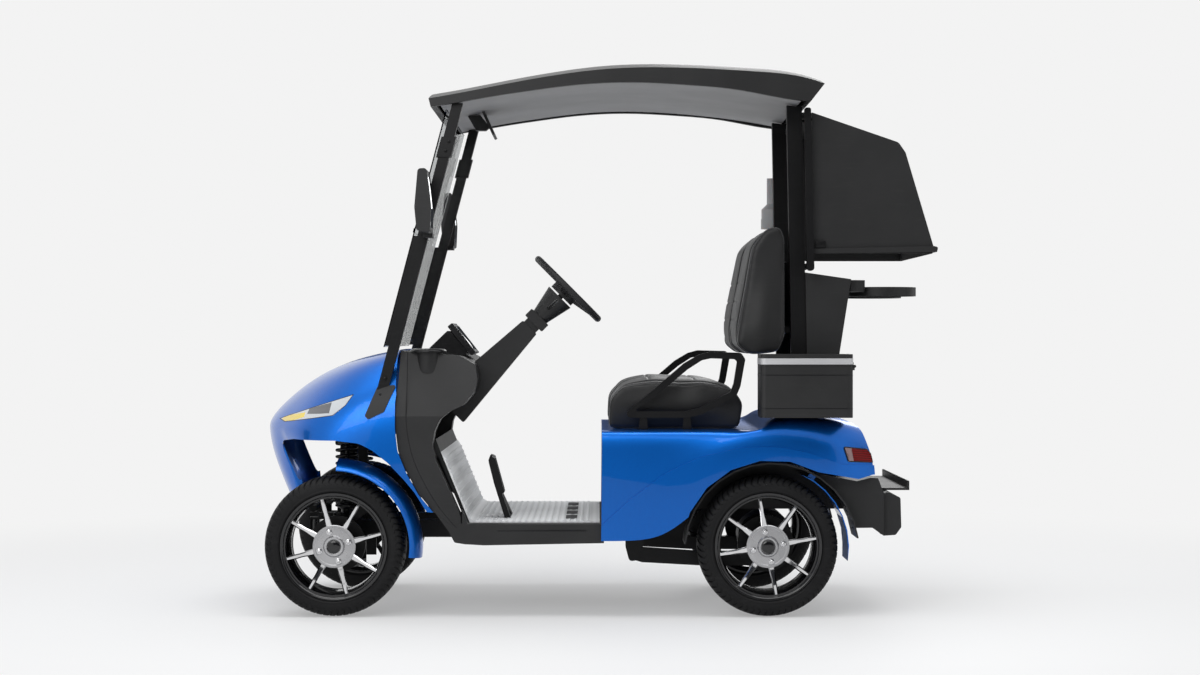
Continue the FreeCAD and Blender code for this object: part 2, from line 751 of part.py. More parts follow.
LAMP_REAR = [(-903, 630, 6), (-998, 618, 8), (-1032, 580, 6), (-1020, 566, 8), (-922, 572, 8)]


def arch_outline():
    """The rear wheel opening: an arc round the axle that runs out straight to the tail."""
    axle = S.front_axle_ahead - S.wheel_base
    points = [(axle + 330, 200)]
    for degrees in range(6, 121, 19):
        turn = math.radians(degrees)
        points.append((axle - 13 + S.arch_radius * math.cos(turn), 247 + S.arch_radius * math.sin(turn)))
    points += [(axle - 283, 518), (axle - 335, 508), (axle - 390, 522), (axle - 420, 524), (axle - 420,
        200)]
    return points


def rear_body():
    face = net_face(REAR_LINES)
    shell = skin_between(face, -S.skin, 0)
    flare = skin_between(face, -S.skin / 2, S.flare_rise)
    shell = shell.fuse(flare.common(both_sides(prism(FLARE_OUTLINE, 380, 700))))
    shell = shell.cut(both_sides(prism(arch_outline(), 380, 700)))
    shell = shell.cut(both_sides(prism(LAMP_REAR, 380, 700)))
    node(feature("rear_shell", cleaned(shell)), "rear_body")
    lamp = both_sides(prism(LAMP_REAR, 380, 700, -0.3)).common(skin_between(face, -22, 3))
    node(feature("tail_lamp", cleaned(lamp)), "tail_lamps")
    panel = new_body("kick_panel")
    half = S.body_half_width - 30
    pad(panel, "YZ_Plane", rounded([
        (-half, S.floor_top + 0.3), (half, S.floor_top + 0.3), (half,
            S.seat_deck_height - S.skin - 2.5, 60),
        (-half, S.seat_deck_height - S.skin - 2.5, 60),
    ]), "8")
    place(panel, x="-19")
    node(panel, "seat_box_panel")


def rear_lower():
    axle = S.front_axle_ahead - S.wheel_base
    liner = new_body("arch_liner")
    radius = S.arch_radius - 12
    strip = []
    for degrees in range(4, 177, 12):
        turn = math.radians(degrees)
        strip.append((axle - 13 + radius * math.cos(turn), 247 + radius * math.sin(turn)))
    for degrees in range(172, 3, -12):
        turn = math.radians(degrees)
        strip.append((axle - 13 + (radius - 6) * math.cos(turn), 247 + (radius - 6) * math.sin(turn)))
    pad(liner, "XZ_Plane", rounded(strip), "200")
    place(liner, y="472")
    edge = [(-800, 530), (-905, 508, 10), (-962, 497), (-1012, 510), (-1040, 508), (-1061.7, 452),
        (-1061.7, 300),
            (-1050, 300), (-1024, 324), (-937, 323)]
    for degrees in range(165, 118, -9):
        turn = math.radians(degrees)
        edge.append((axle - 13 + (radius + 0.3) * math.cos(turn), 247 + (radius + 0.3) * math.sin(turn)))
    panel = side_plate("quarter_panel", edge, "8", "494")
    hanger = side_plate("liner_hanger", [
        (-722, 556), (-700, 562), (-700, S.rear_deck_height - S.skin + 0.6), (-722,
            S.rear_deck_height - S.skin + 0.6),
    ], "30", "415")
    pair(fused("lower_parts", [liner, panel, hanger]), "rear_lower_panels")
    boss = side_plate("guard_boss", [
        (axle - 150, 515), (axle - 159.6, 525.8), (axle - 181.8, 513.1), (axle - 172, 501),
    ], "40", "484")
    guard = new_body("rear_guard")
    arc = []
    for degrees in range(114, 191, 11):
        turn = math.radians(degrees)
        arc.append((axle + S.guard_radius * math.cos(turn),
            S.tyre_radius + S.guard_radius * math.sin(turn)))
    for degrees in range(190, 113, -11):
        turn = math.radians(degrees)
        out = S.guard_radius + S.guard_wall
        arc.append((axle + out * math.cos(turn), S.tyre_radius + out * math.sin(turn)))
    pad(guard, "XZ_Plane", rounded(arc), "196")
    place(guard, y="484")
    pair(fused("guard_joined", [guard, boss]), "rear_mudguards")
    bumper = side_plate("bumper", [
        (-1062, 449), (-1078, 455, 8), (-1127, 434, 10), (-1130, 324, 10), (-1109, 295, 10), (-1064, 292),
    ], "940", "0")
    node(bumper, "rear_bumper")
    tray = side_plate("tray", [
        (-895, 450.3), (-1061, 450.3), (-1066, 456), (-1172, 456), (-1172, 492, 4), (-1164, 492, 4),
            (-1164, 464),
        (-903, 464), (-903, 714), (-895, 714),
    ], "760", "0")
    node(tray, "bag_tray")


# Seats: two cushions and two backs on steel tubes between the rear posts.
def seats():
    width = "Sizes.seat_outer_side - Sizes.seat_gap"
    middle = "(Sizes.seat_outer_side + Sizes.seat_gap) / 2"
    base = S.seat_deck_height + 0.3
    cushion = side_plate("cushion", [
        (-18, base, 12), (-26, 800, 60), (-70, 848, 60), (-200, 862, 90), (-400, 856, 90), (-530, 832, 60),
        (-564, 780, 40), (-550, base, 20),
    ], width, middle)
    pair(cushion, "seat_cushions")
    back = side_plate("seat_back", [
        (-515, 985, 30), (-538, 1140, 200), (-588, 1378, 100), (-640, 1468, 50), (-690, 1468, 18),
            (-697.7, 1380, 60),
        (-697.7, 1040, 40), (-676, 960, 24), (-560, 950, 40),
    ], "Sizes.seat_back_side - Sizes.seat_gap", "(Sizes.seat_back_side + Sizes.seat_gap) / 2")
    pair(back, "seat_backs")
    tubes = []
    for index, (x, z) in enumerate(((-712, 1060), (-712, 1330))):
        tube = doc.addObject("Part::Cylinder", "seat_tube_%d" % index)
        tube.Radius = 14
        tube.setExpression("Height", "2 * Sizes.rear_post_side - Sizes.rear_post_width")
        tube.Placement = FreeCAD.Placement(V(x, -(S.rear_post_side - S.rear_post_width / 2), z),
                                           FreeCAD.Rotation(V(0, 0, 1), V(0, 1, 0)))
        tubes.append(tube)
    return tubes


def armrests():
    outer = [(-98, 746, 14), (-118, 733, 14), (-330, 733, 30), (-385, 746, 30), (-512, 812, 30), (-528,
        850, 30),
             (-546, 950, 14), (-530, 974, 14), (-412, 977, 30), (-372, 966, 30), (-318, 934, 30),
                 (-220, 850, 30)]
    inner = [(-130, 757, 5), (-325, 757, 20), (-378, 770, 20), (-492, 830, 14), (-503, 860, 14), (-516,
        942, 8),
             (-506, 950, 8), (-418, 953, 14), (-385, 946, 14), (-332, 912, 20), (-236, 832, 20)]
    arm = new_body("arm")
    pad(arm, "XZ_Plane", rounded(outer), "34")
    pocket(arm, "XZ_Plane", rounded(inner), "60")
    place(arm, y="502")
    feet = []
    for x in (-168, -330):
        feet.append(side_plate("arm_foot_%d" % -x, [
            (x - 17, S.seat_deck_height + 0.4), (x + 17, S.seat_deck_height + 0.4), (x + 12, 742),
                (x - 12, 742),
        ], "22", "502"))
    pair(fused("arm_welded", [arm] + feet), "armrests")


# Rear posts from the deck to the roof, the cover's side bars, and what hangs on them.
def rear_posts():
    half = S.rear_post_depth / 2
    post = side_plate("rear_post", [
        (S.rear_post_foot_behind * -1 - half, S.rear_post_foot_height),
            (-S.rear_post_top_behind - half, 1899),
        (-S.rear_post_top_behind + half, 1905), (-S.rear_post_foot_behind + half, S.rear_post_foot_height),
    ], "Sizes.rear_post_width", "Sizes.rear_post_side")
    node(fused("rear_frame", [post, mirrored(post)] + seats()), "rear_posts")
    top_tube = hinge_axis()
    low_tube = (-S.rear_post_foot_behind + 10.5 - half - 12.3, 1300)
    side = "Sizes.cover_half_width + 30"
    bar = side_plate("cover_bar", [
        (low_tube[0] - 14, 1279, 12), (low_tube[0] + 14, 1279, 12), (top_tube[0] + 12, 1886, 8),
        (top_tube[0] - 12, 1886, 8),
    ], "Sizes.bar_width", side)
    tubes = []
    for index, (x, z) in enumerate((top_tube, low_tube)):
        tube = doc.addObject("Part::Cylinder", "cover_tube_%d" % index)
        tube.Radius = 12
        tube.setExpression("Height", "2 * (%s)" % side)
        tube.Placement = FreeCAD.Placement(V(x, -S.cover_half_width - 30, z),
                                           FreeCAD.Rotation(V(0, 0, 1), V(0, 1, 0)))
        tubes.append(tube)
    node(fused("cover_frame", [bar, mirrored(bar)] + tubes), "cover_bars")


def hinge_axis():
    """Where the cover's hinge tube runs, just behind the rear posts."""
    return (-S.rear_post_top_behind - S.rear_post_depth / 2 - 13, 1865)


def bag_cover():
    top = [(-800, 1872), (-1124, 1760, 30), (-1150, 1722, 30), (-1254, 1372)]
    outer = prism([(-800, 1344)] + top + [(-1250, 1344)], -S.cover_half_width, S.cover_half_width)
    inner_top = [(-795, 1866), (-1120, 1754, 26), (-1144, 1720, 26), (-1247, 1372)]
    inner = prism([(-795, 1330)] + inner_top + [(-1243, 1330)], -S.cover_half_width + S.cover_wall,
                  S.cover_half_width - S.cover_wall)
    edges = []
    for edge in outer.Edges:
        ends = edge.Vertexes
        if abs(ends[0].Y - ends[-1].Y) < 1 and ends[0].X < -1100 and ends[-1].X < -1100:
            edges.append(edge)
    rim = prism([(-800, 1344), (-800, 1362), (-1255, 1372, 6), (-1270, 1368, 6), (-1266, 1350)],
                -S.cover_half_width - 12, S.cover_half_width + 12)
    rim = rim.cut(prism([(-790, 1300), (-790, 1400), (-1243, 1400), (-1243, 1300)],
                        -S.cover_half_width + S.cover_wall, S.cover_half_width - S.cover_wall))
    shell = outer.cut(inner).fuse(rim)
    hinge = hinge_axis()
    for side in (-300, 300):
        eye = Part.makeCylinder(19, 40, V(hinge[0], side - 20, hinge[1]), V(0, 1, 0))
        bore = Part.makeCylinder(12 + S.running_clearance, 42, V(hinge[0], side - 21, hinge[1]), V(0, 1, 0))
        strap = prism([(hinge[0], 1872), (hinge[0] - 8, 1883), (-812, 1872), (-830, 1861), (-808, 1852),
                       (hinge[0] - 10, 1866)], side - 20, side + 20)
        shell = shell.fuse([eye, strap]).cut(bore)
    node(feature("cover", cleaned(shell)), "bag_cover")


def luggage():
    basket = side_plate("basket", [(-779.8, 1275), (-952, 1250), (-894, 880, 20), (-787.5, 872, 20)],
                        "2 * Sizes.rear_post_side + 60", "0")
    pocket(basket, "XZ_Plane", rounded([(-787, 1300), (-944, 1280), (-887, 890, 16), (-795, 880, 16)]),
           "2 * Sizes.rear_post_side + 46")
    node(basket, "sweater_basket")
    rests = []
    for side in (1, -1):
        arm = new_body("bag_arm_%d" % (side + 1))
        pad(arm, "XY_Plane", rounded([
            (-952.4, -150), (-952.4, 150), (-975, 150), (-1010, 128, 20), (-1010, -128, 20), (-975, -150),
        ]), "44")
        place(arm, y=str(side * 215), z="1225")
        strap = new_body("bag_strap_%d" % (side + 1))
        pad(strap, "XY_Plane", circle(-1090, 0, 128), "34")
        pocket(strap, "XY_Plane", circle(-1090, 0, 124), "60")
        place(strap, y=str(side * 215), z="1205")
        rests.append(fused("bag_rest_%d" % (side + 1), [arm, strap]))
    node(group("bag_rest_set", rests), "bag_rests")
    cooler = new_body("cooler")
    half_length = S.box_length / 2
    half_width = S.box_width / 2
    corner = S.box_corner_radius
    outline = [(-half_length, -half_width, corner), (half_length, -half_width, corner),
               (half_length, half_width, corner), (-half_length, half_width, corner)]
    hollow = [(x - math.copysign(S.box_wall, x), y - math.copysign(S.box_wall, y), r - S.box_wall)
              for x, y, r in outline]
    pad(cooler, "XY_Plane", rounded(outline), "Sizes.box_body_height", both=False)
    drawn = sketch(cooler, "XY_Plane", rounded(hollow))
    drawn.AttachmentOffset = FreeCAD.Placement(V(0, 0, S.box_wall), FreeCAD.Rotation())
    cut = cooler.newObject("PartDesign::Pocket", "cooler_hollow")
    cut.Profile = drawn
    cut.Reversed = True
    cut.setExpression("Length", "Sizes.box_body_height")
    cooler.Tip = cut
    place(cooler, x="-764", y="540", z="Sizes.box_bottom")
    lid = new_body("lid")
    pad(lid, "XY_Plane", rounded(outline), "Sizes.box_lid_height", both=False)
    place(lid, x="-764", y="540", z="Sizes.box_bottom + Sizes.box_body_height + 0.5")
    hinge = V(-764 - half_length - 7, 540, S.box_bottom + S.box_body_height + 0.25)
    lower, upper, bore = box_hinge(hinge)
    node(fused("cooler_hinged", [cooler] + lower), "cooler_box")
    node(cut_from("lid_bored", fused("lid_hinged", [lid] + upper), bore), "cooler_lid")
    side = -(S.rear_post_side + S.rear_post_width / 2 + 48.3)
    neck = rod(V(-719, side, 1566), V(-719, side, 1684), 24)
    shoulder = Part.makeCone(46, 24, 22, V(-719, side, 1556), V(0, 0, 1))
    flask = rod(V(-719, side, 1516), V(-719, side, 1556), 46)
    cup = rod(V(-719, side, 1476), V(-719, side, 1515.7), 48)
    node(feature("bottle", Part.makeCompound([cleaned(neck.fuse([shoulder, flask])), cup])), "sand_bottle")
    block = box("batteries", "300", "600", "250", "-345", "0", "Sizes.rail_top + 0.3")
    node(block, "battery_pack")


def box_hinge(axis):
    """Leaves and barrels of the cooler's lid hinge on its rear end, and the bore for its pin."""
    barrel = 5.5
    half = 40
    knuckle = 36
    pin = 2.5
    across = half + 0.4
    lower = [cross_bar("hinge_pin", axis - V(0, half + knuckle, 0), 2 * (half + knuckle), pin)]
    for index, start in enumerate((-across - knuckle, across)):
        lower.append(cross_bar("hinge_knuckle_%d" % index, axis + V(0, start, 0), knuckle, barrel))
        lower.append(leaf("hinge_leaf_%d" % index, axis + V(0, start, -0.25 - 14), knuckle))
    upper = [cross_bar("lid_knuckle", axis - V(0, half, 0), 2 * half, barrel)]
    upper.append(leaf("lid_leaf", axis + V(0, -half, 0.25), 2 * half))
    bore = cross_bar("hinge_bore", axis - V(0, half + 1, 0), 2 * half + 2, pin + S.running_clearance)
    return lower, upper, bore


def cross_bar(name, start, length, radius):
    """A round bar across the cart."""
    made = doc.addObject("Part::Cylinder", name)
    made.Radius = radius
    made.Height = length
    made.Placement = FreeCAD.Placement(start, FreeCAD.Rotation(V(0, 0, 1), V(0, 1, 0)))
    return made


def leaf(name, corner, length):
    """A hinge leaf that runs from the barrel into the box's wall."""
    made = doc.addObject("Part::Box", name)
    made.Length = 9
    made.Width = length
    made.Height = 14
    made.Placement = FreeCAD.Placement(corner, FreeCAD.Rotation())
    return made


# Wheels: a grooved tyre on a rim whose spoked face is set back inside the barrel.
def tyre(name, x, side):
    radius = S.tyre_radius
    bead = S.tyre_bead_radius
    half = S.tyre_width / 2
    body = new_body(name)
    seat = S.rim_width / 2 - 0.3
    lip = S.rim_flange_radius + 1
    revolve(body, rounded([
        (-seat, bead), (seat, bead), (seat, lip), (half - 4, lip + 4, 6), (half, radius - 26, 30),
        (half - 14, radius, 16), (-half + 14, radius, 16), (-half, radius - 26, 30), (-half + 4,
            lip + 4, 6),
        (-seat, lip),
    ]))
    place(body, x=x, y="%d * Sizes.tyre_centre_side" % side, z="Sizes.tyre_radius")
    return node(body, name)


def rim(name, x, side):
    half = S.rim_width / 2
    bead = S.tyre_bead_radius - 0.3
    flange = S.rim_flange_radius
    wall = S.rim_barrel_wall
    lip = S.rim_flange_width
    barrel = new_body(name + "_barrel")
    revolve(barrel, rounded([
        (-half - lip, bead - wall), (-half - lip, flange), (-half, flange), (-half, bead), (half, bead),
        (half, flange), (half + lip, flange, 2), (half + lip, bead - wall),
    ]))
    hub = doc.addObject("Part::Cylinder", name + "_hub")
    hub.setExpression("Radius", "Sizes.hub_radius")
    hub.setExpression("Height", "Sizes.hub_length")
    hub.Placement = FreeCAD.Placement(V(0, side * (half - 6), 0), FreeCAD.Rotation(V(0, 0, 1), V(0,
        -side, 0)))
    spokes = []
    count = int(S.spoke_count)
    for i in range(count):
        spoke = new_body("%s_spoke_%d" % (name, i))
        root = S.spoke_root_width / 2
        tip = S.spoke_tip_width / 2
        pad(spoke, "XZ_Plane", rounded([
            (-root, S.hub_radius - 12), (root, S.hub_radius - 12), (tip, bead - wall + 1), (-tip,
                bead - wall + 1),
        ]), "Sizes.spoke_thickness")
        angle = 10 + 360.0 * i / count
        spoke.Placement = FreeCAD.Placement(V(0, side * (half - 16), 0), FreeCAD.Rotation(V(0, 1, 0),
            -angle))
        spokes.append(spoke)
    bore = doc.addObject("Part::Cylinder", name + "_bore")
    bore.setExpression("Radius", "Sizes.stub_radius + Sizes.running_clearance")
    bore.Height = S.hub_length - 8
    bore.Placement = FreeCAD.Placement(V(0, side * (half - 14), 0), FreeCAD.Rotation(V(0, 0, 1), V(0,
        -side, 0)))
    solid = fused(name + "_joined", [barrel, hub] + spokes)
    made = cut_from(name + "_bored", solid, bore)
    place(made, x=x, y="%d * Sizes.tyre_centre_side" % side, z="Sizes.tyre_radius")
    return node(made, name)


FRONT_AXLE = "Sizes.front_axle_ahead"
REAR_AXLE = "Sizes.front_axle_ahead - Sizes.wheel_base"


def wheels():
    for end, x in (("front", FRONT_AXLE), ("rear", REAR_AXLE)):
        for word, side in (("left", 1), ("right", -1)):
            tyre("tyre_%s_%s" % (end, word), x, side)
            rim("rim_%s_%s" % (end, word), x, side)


# Front suspension: lower arms, coil struts, steering knuckles with their mudguards, rack and tie rods.
def front_suspension():
    arm = new_body("lower_arm")
    inner = S.rail_side + S.rail_width / 2 + 0.3
    outer = S.kingpin_side
    pad(arm, "XY_Plane", rounded([
        (890, inner), (930, inner), (955, outer - 60, 20), (991, outer - 60, 20), (1000, inner), (1040,
            inner),
        (993, outer + 20, 18), (953, outer + 20, 18),
    ]), "22")
    place(arm, z="172")
    pair(arm, "front_arms")
    x = 955
    side = S.rail_side + S.strut_out
    turns = 9
    pitch = 25
    rings = [rod(V(x, side, 183.3), V(x, side, 639.7), 20)]
    for i in range(turns):
        height = 394 + i * pitch
        rings.append(rod(V(x, side, height), V(x, side, height + 12), 44))
    seat_low = rod(V(x, side, 380), V(x, side, 392), 46)
    strut = rings[0].fuse(seat_low)
    web = rod(V(x, side, 392), V(x, side, 606), 30)
    strut = strut.fuse([web] + rings[1:])
    node(feature("strut_pair", both_sides(cleaned(strut))), "front_struts")


def knuckle(word, side):
    x = S.front_axle_ahead
    king = S.kingpin_side
    centre = S.tyre_radius
    post = rod(V(x, king, 183.3), V(x, king, 372), 22)
    stub = rod(V(x, king, centre), V(x, S.tyre_centre_side + S.rim_width / 2 - 16, centre), S.stub_radius)
    disc = rod(V(x, king + 36, centre), V(x, king + 48, centre), 105)
    arm = Part.makeBox(118, 34, 14, V(x - 6, king - 50, 358))
    solid = post.fuse([stub, disc, arm])
    stay = prism([(x + 14, 300), (x + 14, 330), (x - 200, 478, 8), (x - 218, 462, 8), (x - 10, 300)],
                 king - 32, king - 24)
    root = Part.makeBox(28, 14, 28, V(x - 14, king - 28, 301))
    tab = prism([(x - 200, 478), (x - 218, 462), (x - 207, 452), (x - 189, 468)], king - 28, king - 10.3)
    solid = solid.fuse([stay, root, tab])
    if side < 0:
        solid = solid.mirror(V(0, 0, 0), V(0, 1, 0))
    node(feature("knuckle_" + word + "_solid", cleaned(solid)), "knuckle_" + word)
    guard = guard_solid()
    if side < 0:
        guard = guard.mirror(V(0, 0, 0), V(0, 1, 0))
    node(feature("guard_" + word + "_solid", cleaned(guard)), "mudguard_" + word)


def guard_solid():
    """The front mudguard: a crowned strip turned round the wheel's axle."""
    points = [(390, 292), (430, 314), (490, 323), (545, 315), (586, 284)]
    outer = Part.BSplineCurve()
    outer.interpolate([V(0, y, r) for y, r in points])
    inner = Part.BSplineCurve()
    inner.interpolate([V(0, y, r - S.guard_wall) for y, r in points])
    first = V(0, *points[0])
    last = V(0, *points[-1])
    drop = V(0, 0, -S.guard_wall)
    wire = Part.Wire([outer.toShape(), Part.makeLine(last, last + drop), inner.toShape(),
                      Part.makeLine(first + drop, first)])
    section = Part.Face(wire)
    section.rotate(V(0, 0, 0), V(0, 1, 0), -2)
    swept = section.revolve(V(0, 0, 0), V(0, 1, 0), -96)
    swept.translate(V(S.front_axle_ahead, 0, S.tyre_radius))
    return swept


def steering_rack():
    x = S.front_axle_ahead + 100
    housing = Part.makeCylinder(22, 260, V(x, -130, 385), V(0, 1, 0))
    feet = Part.makeBox(40, 16, 60, V(x - 20, -60, 330)).fuse(Part.makeBox(40, 16, 60, V(x - 20, 44, 330)))
    plate = Part.makeBox(150, 356, 8, V(S.frame_front - 48, -178, S.rail_top))
    bore = Part.makeCylinder(12.4, 262, V(x, -131, 385), V(0, 1, 0))
    body = housing.fuse([feet, plate]).cut(bore)
    node(feature("rack_housing", cleaned(body)), "steering_rack")
    end = S.kingpin_side - 36
    bar = Part.makeCylinder(12, 2 * end, V(x, -end, 385), V(0, 1, 0))
    node(feature("rack_bar", bar), "tie_rods")


# Rear axle with its motor, hung on two trailing springs with dampers.
def rear_suspension():
    x = S.front_axle_ahead - S.wheel_base
    centre = S.tyre_radius
    reach = S.tyre_centre_side + S.rim_width / 2 - 16
    axle = Part.makeCylinder(38, 2 * 376, V(x, -376, centre), V(0, 1, 0))
    stubs = Part.makeCylinder(S.stub_radius, 2 * reach, V(x, -reach, centre), V(0, 1, 0))
    gear = Part.makeCylinder(88, 150, V(x, 40, centre + 6), V(0, 1, 0))
    motor = Part.makeCylinder(84, 230, V(x - 40, -195, centre + 10), V(0, 1, 0))
    discs = both_sides(Part.makeCylinder(105, 12, V(x, 420, centre), V(0, 1, 0)))
    whole = axle.fuse([stubs, gear, motor, discs])
    node(feature("axle", cleaned(whole)), "rear_axle")
    spring = side_plate("trailing_spring", [
        (-128, 224, 14), (-170, 236, 6), (-386, 221.5, 30), (-700, 221.5, 8), (-700, 170, 8), (-386,
            170, 30), (-166, 182, 6),
        (-130, 192, 14),
    ], "50", "330")
    eye = side_plate("spring_bracket", [
        (-104, 266), (-172, 266), (-172, 250), (-150, 190, 14), (-118, 186, 14), (-104, 240),
    ], "8", "330 + 25 + 4")
    other_eye = side_plate("spring_bracket_inner", [
        (-104, 266), (-172, 266), (-172, 250), (-150, 190, 14), (-118, 186, 14), (-104, 240),
    ], "8", "330 - 25 - 4")
    side_set = group("spring_side", [fused("spring_joined", [spring, eye, other_eye])])
    pair(side_set, "rear_springs")


def check_document():
    """Every feature recomputed cleanly and every sub-part is a valid solid."""
    for obj in doc.Objects:
        if "Invalid" in obj.State or "Error" in obj.State:
            raise RuntimeError("failed feature: %s" % obj.Name)
    for obj in NODES:
        if obj.Shape.isNull() or not obj.Shape.isValid() or not obj.Shape.Solids:
            raise RuntimeError("bad shape: %s" % obj.Label)


def build():
    chassis_frame()
    floor_pan()
    front_cowl()
    dash_cowl()
    front_posts()
    roof()
    mirrors()
    display()
    steering()
    pedals()
    rear_body()
    rear_lower()
    armrests()
    rear_posts()
    bag_cover()
    luggage()
    wheels()
    front_suspension()
    knuckle("left", 1)
    knuckle("right", -1)
    steering_rack()
    rear_suspension()


build()
doc.recompute()
check_document()
for obj in NODES:
    obj.Shape.exportStep("parts/" + obj.Label + ".step")
print(len(NODES), "nodes")
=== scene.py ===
import math

import bmesh
import bpy
from mathutils import Matrix, Vector


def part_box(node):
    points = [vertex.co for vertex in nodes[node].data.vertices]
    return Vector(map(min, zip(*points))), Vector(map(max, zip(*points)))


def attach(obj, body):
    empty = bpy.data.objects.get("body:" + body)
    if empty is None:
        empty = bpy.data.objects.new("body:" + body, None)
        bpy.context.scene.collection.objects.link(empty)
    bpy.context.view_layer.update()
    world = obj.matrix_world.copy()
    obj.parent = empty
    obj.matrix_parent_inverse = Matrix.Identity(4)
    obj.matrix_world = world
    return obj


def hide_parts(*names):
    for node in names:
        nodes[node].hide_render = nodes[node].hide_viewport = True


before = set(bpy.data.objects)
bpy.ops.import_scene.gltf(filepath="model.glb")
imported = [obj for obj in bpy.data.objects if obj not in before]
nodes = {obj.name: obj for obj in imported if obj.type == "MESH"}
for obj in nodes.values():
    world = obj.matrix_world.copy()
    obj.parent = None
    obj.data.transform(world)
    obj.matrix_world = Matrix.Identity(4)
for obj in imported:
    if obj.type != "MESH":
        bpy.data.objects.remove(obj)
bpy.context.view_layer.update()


# Camera: the photograph is a level side view through a long lens, taken nine metres from the middle plane
# and a little above the arm rests.
CAMERA_DISTANCE, CAMERA_HEIGHT = 9.0, 1.036
camera_data = bpy.data.cameras.new("side_view")
camera_data.lens = 68.7
camera_data.sensor_width = 36.0
camera_data.shift_x = 0.00167
camera_data.shift_y = -0.00125
camera = bpy.data.objects.new("side_view", camera_data)
camera.location = (0.0, CAMERA_DISTANCE, CAMERA_HEIGHT)
camera.rotation_euler = (math.radians(90), 0.0, math.radians(180))
bpy.context.scene.collection.objects.link(camera)
bpy.context.scene.camera = camera
bpy.context.scene.view_settings.view_transform = "Standard"


# Studio: a white cove. The floor catches the soft shadow under the cart and runs out into the plain pale
# wall, and the world is that same wall where it is seen or mirrored.
WALL = 0.896
FLOOR_TONE = 0.82
FLOOR_GLOW = 0.38
FLOOR_FADE_FROM = 1.7
FLOOR_FADE_TO = 5.0


def wire(tree, source, output, target, socket):
    """Joins an output of one shader node to an input of another."""
    tree.links.new(source.outputs[output], target.inputs[socket])


def set_sockets(node, values):
    """Gives a shader node's own sockets their values."""
    for socket, value in values.items():
        node.inputs[socket].default_value = value


def shader_node(tree, kind, values=None, **settings):
    """A new shader node of a kind, its settings made first and then its sockets' own values."""
    made = tree.nodes.new("ShaderNode" + kind)
    for label, value in settings.items():
        setattr(made, label, value)
    set_sockets(made, values or {})
    return made


def seen_or_mirrored(tree):
    """One where the ray comes from the camera, a mirror or through glass."""
    path = shader_node(tree, "LightPath")
    first = shader_node(tree, "Math", operation="MAXIMUM")
    wire(tree, path, "Is Camera Ray", first, 0)
    wire(tree, path, "Is Glossy Ray", first, 1)
    second = shader_node(tree, "Math", operation="MAXIMUM")
    wire(tree, first, "Value", second, 0)
    wire(tree, path, "Is Transmission Ray", second, 1)
    return second


world = bpy.data.worlds.new("studio")
bpy.context.scene.world = world
world.use_nodes = True
tree = world.node_tree
tree.nodes.clear()
soft = shader_node(tree, "Background", {"Color": (0.95, 0.97, 1.0, 1.0), "Strength": 0.55})
wall = shader_node(tree, "Background", {"Color": (WALL, WALL, WALL, 1.0), "Strength": 1.0})
choice = shader_node(tree, "MixShader")
output = shader_node(tree, "OutputWorld")
wire(tree, seen_or_mirrored(tree), "Value", choice, "Fac")
wire(tree, soft, 0, choice, 1)
wire(tree, wall, 0, choice, 2)
wire(tree, choice, "Shader", output, "Surface")

floor_mesh = bmesh.new()
bmesh.ops.create_circle(floor_mesh, cap_ends=True, segments=96, radius=60.0)
floor_data = bpy.data.meshes.new("floor")
floor_mesh.to_mesh(floor_data)
floor_mesh.free()
floor = bpy.data.objects.new("floor", floor_data)
bpy.context.scene.collection.objects.link(floor)
floor_paint = bpy.data.materials.new("floor")
floor_paint.use_nodes = True
tree = floor_paint.node_tree
tree.nodes.clear()
matt = shader_node(tree, "BsdfPrincipled", {"Base Color": (FLOOR_TONE, FLOOR_TONE, FLOOR_TONE, 1.0),
                                            "Roughness": 0.6, "Specular IOR Level": 0.2})
glow = shader_node(tree, "Emission", {"Color": (WALL, WALL, WALL, 1.0)})
place = shader_node(tree, "TexCoord")
reach = shader_node(tree, "VectorMath", operation="LENGTH")
wire(tree, place, "Object", reach, 0)
fade = shader_node(tree, "MapRange", {"From Min": FLOOR_FADE_FROM, "From Max": FLOOR_FADE_TO,
                                      "To Min": FLOOR_GLOW}, interpolation_type="SMOOTHSTEP")
wire(tree, reach, "Value", fade, "Value")
shown = shader_node(tree, "Math", operation="MULTIPLY")
wire(tree, fade, "Result", shown, 0)
wire(tree, seen_or_mirrored(tree), "Value", shown, 1)
blend = shader_node(tree, "MixShader")
wire(tree, shown, "Value", blend, "Fac")
wire(tree, matt, 0, blend, 1)
wire(tree, glow, 0, blend, 2)
output = shader_node(tree, "OutputMaterial")
wire(tree, blend, "Shader", output, "Surface")
floor_data.materials.append(floor_paint)


def softbox(name, place, aim, width, height, watts):
    """A rectangular studio lamp that looks at a point."""
    data = bpy.data.lights.new(name, "AREA")
    data.shape = "RECTANGLE"
    data.size = width
    data.size_y = height
    data.energy = watts
    lamp = bpy.data.objects.new(name, data)
    lamp.location = place
    lamp.rotation_euler = (Vector(aim) - Vector(place)).to_track_quat("-Z", "Y").to_euler()
    bpy.context.scene.collection.objects.link(lamp)


softbox("overhead", (0.0, 0.6, 4.6), (0.0, 0.0, 0.8), 5.0, 3.4, 165.0)
softbox("near_side", (1.8, 5.6, 3.2), (0.0, 0.0, 0.9), 3.2, 2.4, 80.0)
softbox("far_side", (-2.0, -5.6, 3.0), (0.0, 0.0, 0.9), 3.2, 2.4, 70.0)


def tip(shape, degrees, axis):
    """Turns a whole shape about an axis through the origin."""
    bmesh.ops.rotate(shape, verts=shape.verts, matrix=Matrix.Rotation(math.radians(degrees), 3, axis))


